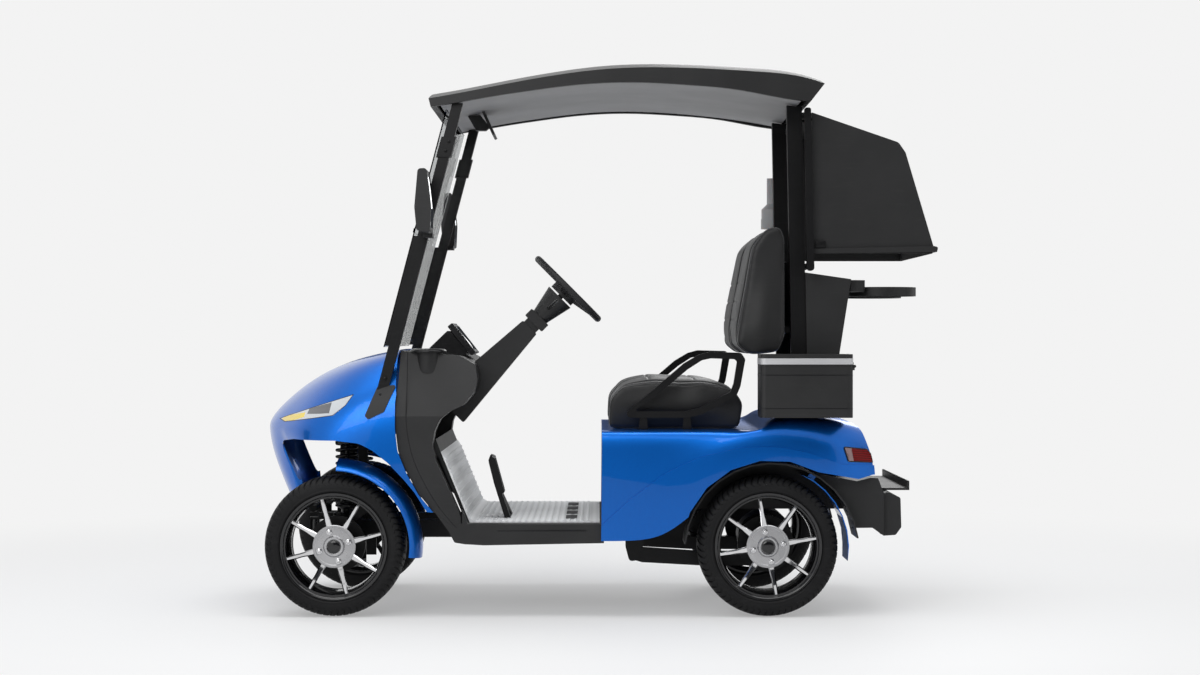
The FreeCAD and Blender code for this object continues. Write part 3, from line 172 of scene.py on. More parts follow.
# Dark cards stand beside the set, out of the camera's sight, to give the paint and the bright metal
# something to mirror.
card_tone = bpy.data.materials.new("dark_card")
card_tone.use_nodes = True
tree = card_tone.node_tree
tree.nodes.clear()
dim = shader_node(tree, "Emission", {"Color": (0.030, 0.032, 0.036, 1.0)})
output = shader_node(tree, "OutputMaterial")
wire(tree, dim, "Emission", output, "Surface")
for name, place, size, turn in (
    ("card_near", (-2.4, 6.4, 1.75), (8.4, 2.9), 0.0), ("card_far", (-2.4, -6.4, 1.75), (8.4, 2.9), 0.0),
    ("card_front", (7.5, 0.0, 1.6), (2.0, 2.0), 90.0), ("card_back", (-7.5, 0.0, 1.9), (3.0, 3.2), 90.0),
):
    flat = bmesh.new()
    bmesh.ops.create_grid(flat, x_segments=1, y_segments=1, size=0.5)
    bmesh.ops.scale(flat, vec=(size[0], size[1], 1.0), verts=flat.verts)
    tip(flat, 90, "X")
    tip(flat, turn, "Z")
    bmesh.ops.translate(flat, verts=flat.verts, vec=place)
    card_data = bpy.data.meshes.new(name)
    flat.to_mesh(card_data)
    flat.free()
    card = bpy.data.objects.new(name, card_data)
    bpy.context.scene.collection.objects.link(card)
    card_data.materials.append(card_tone)
    card.visible_camera = False
    card.visible_diffuse = False
    card.visible_shadow = False
    card.visible_transmission = False


# Chassis and suspension: welded tube and plate under satin black powder coat, with turned struts in black
# coil springs. The steering rack, knuckles, arms and rear axle are bolted up below it, and the battery
# sits in its case under the seat.
MM = 0.001


def paint_nodes(name):
    """A new material with an empty Principled surface."""
    made = bpy.data.materials.new(name)
    made.use_nodes = True
    made.node_tree.nodes.clear()
    surface = shader_node(made.node_tree, "BsdfPrincipled")
    output = shader_node(made.node_tree, "OutputMaterial")
    wire(made.node_tree, surface, "BSDF", output, "Surface")
    return made, surface


def tone_ramp(tree, low, high, start=0.0, end=1.0):
    """A colour ramp from one tone to another."""
    ramp = shader_node(tree, "ValToRGB")
    for stop, tone, position in zip(ramp.color_ramp.elements, (low, high), (start, end)):
        stop.position = position
        stop.color = (*tone, 1.0)
    return ramp


def new_group(name, numbers, outputs):
    """A shader node group with number inputs and their defaults, and named outputs."""
    group = bpy.data.node_groups.new(name, "ShaderNodeTree")
    for label, value in numbers:
        socket = group.interface.new_socket(label, in_out="INPUT", socket_type="NodeSocketFloat")
        socket.default_value = value
    for label, kind in outputs:
        group.interface.new_socket(label, in_out="OUTPUT", socket_type=kind)
    return group, group.nodes.new("NodeGroupInput"), group.nodes.new("NodeGroupOutput")


def grain_group():
    """Fine moulded or pressed grain: a height for bumps and a roughness that drifts over the surface."""
    group, given, result = new_group("surface_grain", (
        ("Scale", 900.0), ("Softness", 0.5), ("Roughness", 0.5), ("Drift", 0.08),
    ), (("Height", "NodeSocketFloat"), ("Roughness", "NodeSocketFloat")))
    where = shader_node(group, "TexCoord")
    pebbles = shader_node(group, "TexNoise", {"Detail": 2.0})
    wire(group, where, "Object", pebbles, "Vector")
    wire(group, given, "Scale", pebbles, "Scale")
    wire(group, given, "Softness", pebbles, "Roughness")
    wire(group, pebbles, "Fac", result, "Height")
    patches = shader_node(group, "TexNoise", {"Scale": 7.0, "Detail": 3.0})
    wire(group, where, "Object", patches, "Vector")
    centred = shader_node(group, "Math", {1: 0.5}, operation="SUBTRACT")
    wire(group, patches, "Fac", centred, 0)
    drift = shader_node(group, "Math", operation="MULTIPLY_ADD")
    wire(group, centred, "Value", drift, 0)
    wire(group, given, "Drift", drift, 1)
    wire(group, given, "Roughness", drift, 2)
    wire(group, drift, "Value", result, "Roughness")
    return group


def scuff_group():
    """Fine hairline scuffs and a trace of dust, as a mask over the surface."""
    group, given, result = new_group("scuffs", (("Scale", 14.0), ("Amount", 0.3)),
                                     (("Mask", "NodeSocketFloat"),))
    where = shader_node(group, "TexCoord")
    stretch = shader_node(group, "Mapping", {"Scale": (1.0, 3.0, 9.0)})
    wire(group, where, "Object", stretch, "Vector")
    lines = shader_node(group, "TexNoise", {"Detail": 6.0})
    wire(group, stretch, "Vector", lines, "Vector")
    wire(group, given, "Scale", lines, "Scale")
    sharp = shader_node(group, "MapRange", {"From Min": 0.58, "From Max": 0.74})
    wire(group, lines, "Fac", sharp, "Value")
    wire(group, given, "Amount", sharp, "To Max")
    wire(group, sharp, "Result", result, "Mask")
    return group


GRAIN = grain_group()
SCUFFS = scuff_group()


def moulded(name, low, high, roughness, grain_scale, grain_depth, drift=0.08, scuffs=0.10, gloss=0.30,
            more=None):
    """Plastic, rubber or coated steel: two close tones, grain and light scuffs. More sets other sockets."""
    made, surface = paint_nodes(name)
    tree = made.node_tree
    where = shader_node(tree, "TexCoord")
    cloud = shader_node(tree, "TexNoise", {"Scale": 5.0, "Detail": 3.0})
    wire(tree, where, "Object", cloud, "Vector")
    tones = tone_ramp(tree, low, high, 0.35, 0.65)
    wire(tree, cloud, "Fac", tones, "Fac")
    worn = (*[0.75 * tone + 0.03 for tone in high], 1.0)
    rubbed = shader_node(tree, "Mix", {7: worn}, data_type="RGBA")
    marks = shader_node(tree, "Group", {"Amount": scuffs}, node_tree=SCUFFS)
    wire(tree, marks, "Mask", rubbed, "Factor")
    wire(tree, tones, "Color", rubbed, 6)
    wire(tree, rubbed, 2, surface, "Base Color")
    grain = shader_node(tree, "Group", {"Scale": grain_scale, "Roughness": roughness, "Drift": drift},
                        node_tree=GRAIN)
    wire(tree, grain, "Roughness", surface, "Roughness")
    bump = shader_node(tree, "Bump", {"Strength": 0.6, "Distance": grain_depth})
    wire(tree, grain, "Height", bump, "Height")
    wire(tree, bump, "Normal", surface, "Normal")
    set_sockets(surface, {"Specular IOR Level": gloss, **(more or {})})
    return made


def dress(material, *names):
    """Gives CAD pieces that stay in view their finish."""
    for name in names:
        mesh = nodes[name].data
        mesh.materials.clear()
        mesh.materials.append(material)


def finish(shape, name, material, body, sharp=40.0):
    """Makes a piece of a bmesh, smooth up to an angle, that rides on a body."""
    bmesh.ops.remove_doubles(shape, verts=shape.verts, dist=0.000001)
    bmesh.ops.recalc_face_normals(shape, faces=shape.faces)
    mesh = bpy.data.meshes.new(name)
    shape.to_mesh(mesh)
    shape.free()
    mesh.shade_smooth()
    mesh.set_sharp_from_angle(angle=math.radians(sharp))
    mesh.materials.append(material)
    piece = bpy.data.objects.new(name, mesh)
    bpy.context.scene.collection.objects.link(piece)
    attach(piece, body)
    return piece


def merged(target, part):
    """Adds one bmesh to another."""
    mesh = bpy.data.meshes.new("part")
    part.to_mesh(mesh)
    part.free()
    target.from_mesh(mesh)
    bpy.data.meshes.remove(mesh)


def both_sides(shape):
    """Adds the copy of a left-hand shape on the right of the middle plane."""
    other = shape.copy()
    bmesh.ops.scale(other, vec=(1, -1, 1), verts=other.verts)
    bmesh.ops.reverse_faces(other, faces=other.faces)
    merged(shape, other)
    return shape


def turned(profile, steps, closed=True):
    """A bmesh spun about the Y axis from (across, radius) points in millimetres."""
    shape = bmesh.new()
    points = [shape.verts.new((0.0, across * MM, radius * MM)) for across, radius in profile]
    edges = [shape.edges.new(pair) for pair in zip(points, points[1:])]
    if closed:
        edges.append(shape.edges.new((points[-1], points[0])))
    bmesh.ops.spin(shape, geom=points + edges, cent=(0, 0, 0), axis=(0, 1, 0), dvec=(0, 0, 0),
                   angle=math.tau, steps=steps, use_merge=True)
    bmesh.ops.remove_doubles(shape, verts=shape.verts, dist=0.000002)
    return shape


def shift(shape, place):
    """Moves a whole shape by a place in millimetres."""
    bmesh.ops.translate(shape, verts=shape.verts, vec=Vector(place) * MM)


steel = moulded("black_powder_coat", (0.0035, 0.0035, 0.004), (0.006, 0.006, 0.0065), 0.38, 1800.0, 0.00008,
                gloss=0.22)
dress(steel, "chassis_frame", "front_arms", "steering_rack", "tie_rods", "knuckle_left", "knuckle_right",
      "rear_axle", "rear_springs")
casing = moulded("battery_case", (0.010, 0.010, 0.011), (0.016, 0.016, 0.017), 0.5, 1400.0, 0.0001)
dress(casing, "battery_pack")

STRUT_X, STRUT_Y = 955.0, 292.0
STRUT_PROFILE = [
    (184, 0), (184, 12), (205, 21), (380, 21), (384, 30), (390, 44), (396, 44), (398, 24), (470, 22),
    (474, 8), (618, 8), (624, 26), (628, 44), (636, 44), (639, 30), (639, 0),
]
COIL_RADIUS, COIL_WIRE, COIL_PITCH = 37.5, 6.0, 25.0
COIL_LOW, COIL_TURNS, COIL_STEPS_A_TURN = 402.0, 9.0, 26
strut = turned(STRUT_PROFILE, 40, False)
tip(strut, 90, "X")
spring = bmesh.new()
ring = bmesh.ops.create_circle(spring, segments=12, radius=COIL_WIRE * MM)["verts"]
bmesh.ops.rotate(spring, verts=ring, matrix=Matrix.Rotation(math.radians(90), 3, "X"))
bmesh.ops.translate(spring, verts=ring, vec=(COIL_RADIUS * MM, 0, COIL_LOW * MM))
coil_steps = int(COIL_TURNS * COIL_STEPS_A_TURN)
bmesh.ops.spin(spring, geom=ring + spring.edges[:], cent=(0, 0, 0), axis=(0, 0, 1),
               dvec=(0, 0, COIL_PITCH * COIL_TURNS * MM / coil_steps), angle=math.tau * COIL_TURNS,
               steps=coil_steps)
bmesh.ops.holes_fill(spring, edges=[edge for edge in spring.edges if edge.is_boundary], sides=0)
merged(strut, spring)
shift(strut, (STRUT_X, STRUT_Y, 0))
spring_black = moulded("spring_black", (0.006, 0.006, 0.007), (0.009, 0.009, 0.010), 0.28, 1500.0, 0.00004)
piece = finish(both_sides(strut), "front_struts_and_springs", spring_black, "chassis", 35.0)
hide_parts("front_struts")


# Tyres: low black rubber on ten-inch rims, with two grooves round the tread and swept shoulder grooves cut
# across it.
PITCHES = 64
COLUMNS = (0.0, 0.10, 0.17, 0.50, 0.83, 0.90)
GROOVED = (0, 1, 5)
GROOVE_DEPTH, GROOVE_RUNOUT = 6.0, 12.0
TREAD_FOOT, HALF_WIDTH = 230.5, 98.0
SHOULDER_FROM, SHOULDER_FULL = 26.5, 40.0
SWEEP_FROM, SWEEP = 27.0, 0.075
TREAD_HALF = [
    (17, 260), (18.5, 254.5), (25.5, 254.5), (27, 259.8), (36, 259.6), (46, 259.2), (60, 258), (72, 256),
    (80, 253.4), (86, 250), (91, 244.5), (95, 237), (97.4, 228), (98, 218), (97.2, 210.5), (98, 209),
    (98, 206.5), (96.6, 205.2), (94, 202), (90, 199), (86, 197.4), (84, 190), (84, 180),
]


def sweep_of(across):
    """How far round the tyre a shoulder groove has swept at a distance from the middle."""
    share = max(0.0, abs(across) - SWEEP_FROM) / (HALF_WIDTH - SWEEP_FROM)
    return SWEEP * share * share


def tyre_shape():
    """A tyre about the origin, its tread cut by moving the columns of a plain spun tyre."""
    other = [(-across, radius) for across, radius in reversed(TREAD_HALF)]
    shape = turned(other + TREAD_HALF, PITCHES * len(COLUMNS))
    step = math.tau / (PITCHES * len(COLUMNS))
    for vert in shape.verts:
        across = vert.co.y / MM
        radius = math.hypot(vert.co.x, vert.co.z)
        turn = math.atan2(vert.co.x, vert.co.z)
        if radius < TREAD_FOOT * MM or abs(across) < SHOULDER_FROM:
            continue
        count = round(turn / step)
        column = count % len(COLUMNS)
        lag = 0.5 if across < 0 else 0.0
        base = count // len(COLUMNS) + COLUMNS[column] + lag
        depth = 0.0
        if column in GROOVED:
            depth = GROOVE_DEPTH * min(1.0, (radius / MM - TREAD_FOOT) / GROOVE_RUNOUT)
            if abs(across) < SHOULDER_FULL:
                depth *= (abs(across) - SHOULDER_FROM) / (SHOULDER_FULL - SHOULDER_FROM)
        turn = base * step * len(COLUMNS) + sweep_of(across)
        radius -= depth * MM
        vert.co.x = radius * math.sin(turn)
        vert.co.z = radius * math.cos(turn)
    return shape


rubber = moulded("tyre_rubber", (0.006, 0.006, 0.0065), (0.010, 0.010, 0.0105), 0.58, 520.0, 0.00015, 0.16,
                 0.2, 0.18)
WHEELS = (("front", "left", 1), ("front", "right", -1), ("rear", "left", 1), ("rear", "right", -1))


def wheel_place(end, side):
    """Middle of a wheel, from its CAD tyre."""
    low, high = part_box("tyre_%s_%s" % (end, side))
    return (low + high) / 2


for end, side, sign in WHEELS:
    shape = tyre_shape()
    if sign < 0:
        bmesh.ops.scale(shape, vec=(1, -1, 1), verts=shape.verts)
    bmesh.ops.translate(shape, vec=wheel_place(end, side), verts=shape.verts)
    body = "wheel_%s_%s" % (end, side)
    piece = finish(shape, "tyre_tread_%s_%s" % (end, side), rubber, body, 32.0)
    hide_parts("tyre_%s_%s" % (end, side))


# Rims: cast alloy, the barrel and lip gloss black, eight narrow bright spokes and a brushed hub plate
# with four wheel nuts round a plain black cap.
RIM_PROFILE = [
    (93, 198.5), (94.5, 197.5), (94.5, 193), (92, 189), (86, 184.5), (78, 182), (66, 178.5), (58, 176),
    (30, 172), (-20, 170), (-80, 171.5), (-88, 176), (-93, 186), (-93.5, 196), (-92, 198), (-87, 198),
    (-85.4, 195), (-85.4, 179), (85.4, 179), (85.4, 195), (87, 198.5),
]
HUB_PROFILE = [
    (40, 0), (40, 60), (52, 76), (74, 79.5), (79, 79), (80.5, 77), (80.5, 70), (78.5, 67), (78.5, 40),
    (81.5, 37), (84.5, 35), (85, 32), (84, 27), (80, 25.5), (80, 0),
]
CAP_PROFILE = [(79, 0), (79, 24.8), (84, 24.8), (86.5, 22.5), (87.8, 14), (88.4, 0)]
NUT_COUNT, NUT_CIRCLE, NUT_RADIUS, NUT_LENGTH, NUT_SEAT = 4, 56.0, 11, 9, 78.5
SPOKE_COUNT, SPOKE_FOOT, SPOKE_LENGTH = 8, 70.0, 114.5
SPOKE_WIDE, SPOKE_NARROW, SPOKE_WAIST = 25.0, 14.5, 2.5
SPOKE_THICK, SPOKE_THIN = 26.0, 13.0
SPOKE_FACE, SPOKE_CROWN = 77.0, 7.5
SPOKE_CHAMFER, CHAMFERED_FROM = 4.2, 70
SPOKE_TURN = {"front": 14.9, "rear": 9.6}


def spoke_shape():
    """A blade, wide and thick at the hub, narrow at the lip, with broad chamfers that carry reflections."""
    shape = bmesh.new()
    bmesh.ops.create_cube(shape, size=1.0)
    upright = [edge for edge in shape.edges if abs(edge.verts[0].co.z - edge.verts[1].co.z) > 0.5]
    bmesh.ops.subdivide_edges(shape, edges=upright, cuts=7, use_grid_fill=True)
    for vert in shape.verts:
        along = vert.co.z + 0.5
        width = SPOKE_WIDE + (SPOKE_NARROW - SPOKE_WIDE) * along ** 0.8
        if 0.28 < along < 0.55:
            width -= SPOKE_WAIST
        depth = SPOKE_THICK + (SPOKE_THIN - SPOKE_THICK) * along
        face = SPOKE_FACE + SPOKE_CROWN * math.sin(along * math.pi * 0.62) ** 2
        vert.co.x *= width
        vert.co.y = face - depth if vert.co.y < 0 else face
        vert.co.z = SPOKE_FOOT + along * SPOKE_LENGTH
    front = [edge for edge in shape.edges
             if all(vert.co.y > CHAMFERED_FROM and abs(vert.co.x) > 3 for vert in edge.verts)
             and abs(edge.verts[0].co.x - edge.verts[1].co.x) < 4
             and abs(edge.verts[0].co.z - edge.verts[1].co.z) > 3]
    bmesh.ops.bevel(shape, geom=front, offset=SPOKE_CHAMFER, offset_type="OFFSET", segments=1, profile=0.5,
                    affect="EDGES", material=-1, clamp_overlap=True)
    bmesh.ops.scale(shape, vec=(MM, MM, MM), verts=shape.verts)
    return shape


def nut_shape(radius, length):
    """A hexagonal nut with a small dome, along Y from the origin."""
    shape = bmesh.new()
    bmesh.ops.create_cone(shape, cap_ends=True, segments=6, radius1=radius, radius2=radius, depth=length)
    top = [edge for edge in shape.edges if all(vert.co.z > 0 for vert in edge.verts)]
    bmesh.ops.bevel(shape, geom=top, offset=radius * 0.16, offset_type="OFFSET", segments=2, profile=0.5,
                    affect="EDGES", material=-1)
    bmesh.ops.translate(shape, vec=(0, 0, length / 2), verts=shape.verts)
    dome = bmesh.new()
    bmesh.ops.create_uvsphere(dome, u_segments=16, v_segments=8, radius=radius * 0.62)
    bmesh.ops.scale(dome, vec=(1, 1, 0.7), verts=dome.verts)
    bmesh.ops.translate(dome, vec=(0, 0, length), verts=dome.verts)
    merged(shape, dome)
    tip(shape, -90, "X")
    return shape


black_gloss = moulded("black_gloss", (0.004, 0.004, 0.005), (0.006, 0.006, 0.007), 0.16, 600.0, 0.00001,
                      0.05, more={"Coat Weight": 0.6, "Coat Roughness": 0.03})
chrome = moulded("spoke_chrome", (0.62, 0.62, 0.63), (0.70, 0.70, 0.71), 0.07, 300.0, 0.00001, 0.05,
                 more={"Metallic": 1.0})
brushed = moulded("hub_silver", (0.36, 0.36, 0.37), (0.50, 0.50, 0.51), 0.26, 700.0, 0.00003, 0.3,
                  more={"Metallic": 1.0})
for end, side, sign in WHEELS:
    body = "wheel_%s_%s" % (end, side)
    facing = Matrix.Rotation(0.0 if sign > 0 else math.pi, 4, "Z")
    turn = Matrix.Rotation(math.radians(sign * SPOKE_TURN[end]), 4, "Y")
    spin = Matrix.Translation(wheel_place(end, side)) @ turn @ facing
    spokes = bmesh.new()
    for index in range(SPOKE_COUNT):
        blade = spoke_shape()
        tip(blade, index * 360 / SPOKE_COUNT, "Y")
        merged(spokes, blade)
    nuts = bmesh.new()
    for index in range(NUT_COUNT):
        place = (index + 0.03) * math.tau / NUT_COUNT
        nut = nut_shape(NUT_RADIUS * MM, NUT_LENGTH * MM)
        shift(nut, (NUT_CIRCLE * math.sin(place), NUT_SEAT, NUT_CIRCLE * math.cos(place)))
        merged(nuts, nut)
    for shape, kind, material, sharp in (
        (turned(RIM_PROFILE, 96), "rim_barrel", black_gloss, 50.0), (spokes, "rim_spokes", chrome, 25.0),
        (turned(HUB_PROFILE, 72, False), "hub_plate", brushed, 30.0), (nuts, "wheel_nuts", chrome, 30.0),
        (turned(CAP_PROFILE, 48, False), "hub_cap", black_gloss, 40.0),
    ):
        bmesh.ops.transform(shape, matrix=spin, verts=shape.verts)
        piece = finish(shape, "%s_%s_%s" % (kind, end, side), material, body, sharp)
        if kind == "rim_barrel":
            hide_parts("rim_%s_%s" % (end, side))


# Front cowl, rear body and mudguards: moulded skins in deep blue metallic under a thick clear coat,
# screwed to the chassis from inside. The flakes show only as a fine sparkle.
PAINT_DEEP, PAINT_BRIGHT = (0.0003, 0.098, 0.470), (0.0006, 0.150, 0.600)
blue, surface = paint_nodes("blue_metallic")
tree = blue.node_tree
where = shader_node(tree, "TexCoord")
flakes = shader_node(tree, "TexVoronoi", {"Scale": 1400.0})
wire(tree, where, "Object", flakes, "Vector")
sparkle = tone_ramp(tree, PAINT_DEEP, PAINT_BRIGHT, 0.15, 0.85)
wire(tree, flakes, "Color", sparkle, "Fac")
wire(tree, sparkle, "Color", surface, "Base Color")
grain = shader_node(tree, "Group", {"Roughness": 0.34, "Drift": 0.03}, node_tree=GRAIN)
wire(tree, grain, "Roughness", surface, "Roughness")
ripple = shader_node(tree, "Bump", {"Strength": 0.25, "Distance": 0.00001})
wire(tree, grain, "Height", ripple, "Height")
wire(tree, ripple, "Normal", surface, "Normal")
set_sockets(surface, {"Metallic": 0.85, "Coat Weight": 0.6, "Coat IOR": 1.35, "Coat Roughness": 0.015})
dress(blue, "front_cowl", "rear_body", "rear_mudguards", "mudguard_left", "mudguard_right")


# Headlamps: a clear lens over a white frame, a ribbed grey reflector box and a yellow turn strip at the
# nose, set in the cowl, with a thin black ring painted round the lens's edge as the shade of the gap round
# it.
REFLECTOR = [(1074, 766), (984, 791), (992, 751), (1082, 746)]
TURN_STRIP = [(1205, 712), (1190, 734), (1090, 752), (1093, 735), (1146, 719)]


def inside(outline, x, z):
    """Whether a point of the side view lies in an outline, both in millimetres."""
    within = False
    for (x0, z0), (x1, z1) in zip(outline, outline[1:] + outline[:1]):
        if (z0 > z) != (z1 > z) and x < (x1 - x0) * (z - z0) / (z1 - z0) + x0:
            within = not within
    return within


def scored(shape, outline):
    """Cuts a shape along the lines of a side-view outline, so that whole faces lie in or out of it."""
    for (x0, z0), (x1, z1) in zip(outline, outline[1:] + outline[:1]):
        bmesh.ops.bisect_plane(shape, geom=shape.verts[:] + shape.edges[:] + shape.faces[:], dist=0.000001,
                               plane_co=(x0 * MM, 0, z0 * MM), plane_no=(z1 - z0, 0, x0 - x1))


def looks_out(face):
    """Whether a face of a lens looks out of its own side of the cart."""
    middle = face.calc_center_median()
    return face.normal.y * middle.y > 0.15 * abs(middle.y)


def zoned(node, zones, rim, rim_index):
    """A copy of a CAD lens with a rim round its outer face, and side-view zones of other finishes in it."""
    shape = bmesh.new()
    shape.from_mesh(nodes[node].data)
    bmesh.ops.remove_doubles(shape, verts=shape.verts, dist=0.00001)
    shape.normal_update()
    outer = [face for face in shape.faces if looks_out(face)]
    made = bmesh.ops.inset_region(shape, faces=outer, thickness=rim * MM, depth=0.0, use_even_offset=True,
                                  use_boundary=True)
    for face in made["faces"]:
        face.material_index = rim_index
    for outline, index, depth in zones:
        scored(shape, outline)
    shape.normal_update()
    for outline, index, depth in zones:
        sunk = []
        for face in shape.faces:
            x, y, z = face.calc_center_median() / MM
            if face.material_index == 0 and looks_out(face) and inside(outline, x, z):
                face.material_index = index
                sunk.append(face)
        if sunk and depth:
            bmesh.ops.inset_region(shape, faces=sunk, thickness=0.4 * MM, depth=-depth * MM,
                                   use_even_offset=True, use_boundary=True)
    return shape


lens_white = moulded("lamp_white", (0.52, 0.54, 0.56), (0.60, 0.62, 0.64), 0.18, 900.0, 0.00002, 0.05, 0.0,
                     more={"Coat Weight": 1.0, "Coat Roughness": 0.02})
# Painted shade: on the headlamps this black ring stands for the shade in the gap round the lens; on the
# tail lamps it is their real black surround.
gap_shade_and_surround_black = moulded("lamp_gap_shade_and_surround", (0.006, 0.006, 0.007), (0.010, 0.010, 0.011), 0.4, 900.0, 0.00002)
turn_yellow = moulded("turn_yellow", (0.72, 0.50, 0.02), (0.84, 0.62, 0.03), 0.2, 900.0, 0.00002, 0.05, 0.0,
                      more={"Coat Weight": 1.0})


def ribbed(name, dark, bright, ribs, roughness, across, more=None):
    """A lens, reflector or mat moulded with fine straight ribs and painted shade in the grooves. More sets
    other sockets.
    """
    made, surface = paint_nodes(name)
    tree = made.node_tree
    where = shader_node(tree, "TexCoord")
    along = shader_node(tree, "Mapping", {"Scale": across})
    wire(tree, where, "Object", along, "Vector")
    waves = shader_node(tree, "TexWave", {"Scale": ribs}, wave_type="BANDS", bands_direction="DIAGONAL")
    wire(tree, along, "Vector", waves, "Vector")
    # Painted shade: the colour follows the rib height, from the dark tone in the grooves to the bright one
    # on the crests.
    tones = tone_ramp(tree, dark, bright)
    wire(tree, waves, "Fac", tones, "Fac")
    wire(tree, tones, "Color", surface, "Base Color")
    bump = shader_node(tree, "Bump", {"Strength": 0.7, "Distance": 0.0008})
    wire(tree, waves, "Fac", bump, "Height")
    wire(tree, bump, "Normal", surface, "Normal")
    set_sockets(surface, {"Roughness": roughness, "Coat Weight": 0.5, "Coat Roughness": 0.02,
                          **(more or {})})
    return made


# Painted shade: the reflector is darker in its rib grooves.
reflector = ribbed("lamp_reflector", (0.05, 0.05, 0.055), (0.20, 0.20, 0.21), 150.0, 0.3, (0.0, 0.0, 1.0))
lamp_mesh = zoned("headlamps", ((REFLECTOR, 2, 0.0), (TURN_STRIP, 3, 0.0)), 2.6, 1)
piece = finish(lamp_mesh, "headlamp_lenses", lens_white, "chassis", 30.0)
for material in (gap_shade_and_surround_black, reflector, turn_yellow):
    piece.data.materials.append(material)
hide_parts("headlamps")


# Tail lamps: red lenses with level bars and a clear reversing light at the front end, in black surrounds
# let into the upper corners of the rear body.
CLEAR_END = [(-900, 640), (-932, 640), (-946, 560), (-900, 560)]
# Painted shade: the red bars are darker in their grooves.
bars_red = ribbed("tail_red", (0.060, 0.0004, 0.0006), (0.22, 0.002, 0.003), 95.0, 0.25, (0.0, 0.0, 1.0),
                  more={"Coat Weight": 0.05, "Specular IOR Level": 0.15})
clear_end = moulded("reversing_clear", (0.22, 0.13, 0.13), (0.28, 0.18, 0.18), 0.15, 900.0, 0.00002, 0.05,
                    0.0, more={"Coat Weight": 1.0})
tail_mesh = zoned("tail_lamps", ((CLEAR_END, 2, 1.0),), 4.0, 1)
piece = finish(tail_mesh, "tail_lamp_lenses", bars_red, "chassis", 30.0)
for material in (gap_shade_and_surround_black, clear_end):
    piece.data.materials.append(material)
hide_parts("tail_lamps")


# Dash and kick panel: one black moulding with a fine pebble grain and a joint line a hand behind its front
# edge, black cup rings let into its shelf and a dark screen on a short stand for the driver.
black = moulded("black_moulding", (0.017, 0.017, 0.0175), (0.022, 0.022, 0.0225), 0.46, 1500.0, 0.00012)
dress(black, "dash_cowl", "post_boots", "rear_lower_panels", "rear_bumper", "bag_tray", "sweater_basket",
      "cooler_box", "cooler_lid", "seat_box_panel", "floor_pan", "side_mirrors", "interior_mirror",
      "bag_rests")
DASH_FACE = 577.6
SEAM = [(701, 979), (701, 866), (708, 746), (701, 666), (679, 573), (626, 466), (559, 368), (520, 330)]
SLOT_FRONT, SLOT_REAR, SLOT_Z, SLOT_HEIGHT = 371, 42, 320, 7


def bead_along(points, radius, steps, ring=False):
    """A smooth round bead along points in metres, as a bmesh. A ring closes on itself."""
    data = bpy.data.curves.new("bead", "CURVE")
    data.dimensions = "3D"
    spline = data.splines.new("NURBS")
    spline.points.add(len(points) - 1)
    for knot, point in zip(spline.points, points):
        knot.co = (*point, 1.0)
    spline.order_u = 3
    spline.use_endpoint_u = not ring
    spline.use_cyclic_u = ring
    spline.resolution_u = steps
    data.bevel_depth = radius
    data.bevel_resolution = 2
    data.use_fill_caps = not ring
    holder = bpy.data.objects.new("bead", data)
    mesh = bpy.data.meshes.new_from_object(holder)
    shape = bmesh.new()
    shape.from_mesh(mesh)
    bpy.data.objects.remove(holder)
    bpy.data.curves.remove(data)
    bpy.data.meshes.remove(mesh)
    return shape


def slab(size, place, corner, edge=0.6, turn=None):
    """A plate in millimetres, its thickness along X, with rounded corners and a fine edge."""
    shape = bmesh.new()
    bmesh.ops.create_cube(shape, size=MM)
    bmesh.ops.scale(shape, vec=size, verts=shape.verts)
    half = size[0] * MM / 2
    along = [side for side in shape.edges if abs(side.verts[0].co.x - side.verts[1].co.x) > half]
    bmesh.ops.bevel(shape, geom=along, offset=corner * MM, offset_type="OFFSET", segments=6, profile=0.5,
                    affect="EDGES", material=-1)
    rims = [side for side in shape.edges if len(side.link_faces) == 2 and side.calc_face_angle(0) > 1.0]
    bmesh.ops.bevel(shape, geom=rims, offset=edge * MM, offset_type="OFFSET", segments=2, profile=0.5,
                    affect="EDGES", material=-1)
    if turn:
        bmesh.ops.rotate(shape, verts=shape.verts, matrix=turn)
    shift(shape, place)
    return shape


bead_black = moulded("joint_and_slot_shade_black", (0.006, 0.006, 0.007), (0.010, 0.010, 0.011), 0.3, 1500.0, 0.00003)
seam = bead_along([(x * MM, DASH_FACE * MM, z * MM) for x, z in SEAM], 1.3 * MM, 8)
bmesh.ops.remove_doubles(seam, verts=seam.verts, dist=0.00001)
finish(both_sides(seam), "dash_joint_lines", bead_black, "chassis")
upright = Matrix.Rotation(math.radians(90), 3, "Z")
# Painted shade: each sill slot is a dark plate on the dash face, standing for the shade inside the slot.
slot_middle = ((SLOT_FRONT + SLOT_REAR) / 2, DASH_FACE + 0.3, SLOT_Z)
slot_shade = slab((1.2, SLOT_FRONT - SLOT_REAR, SLOT_HEIGHT), slot_middle, 3.0, 0.4, upright)
finish(both_sides(slot_shade), "sill_slots_painted_shade", bead_black, "chassis")

CUP_X, CUP_Y = 630.0, 500.0
RING_PROFILE = [
    (977, 43), (985, 43), (988.5, 46), (989.5, 52), (988, 60), (984, 66.5), (980, 68.5), (977, 68.5),
]
SLEEVE_PROFILE = [(899, 42.4), (976, 42.4), (976, 46), (912, 46), (904, 45), (899, 43.5)]
for name, profile, material in (("cup_rings", RING_PROFILE, bead_black),
                                ("cup_sleeves", SLEEVE_PROFILE, black)):
    lining = turned(profile, 72)
    tip(lining, 90, "X")
    shift(lining, (CUP_X, CUP_Y, 0))
    finish(both_sides(lining), name, material, "chassis")

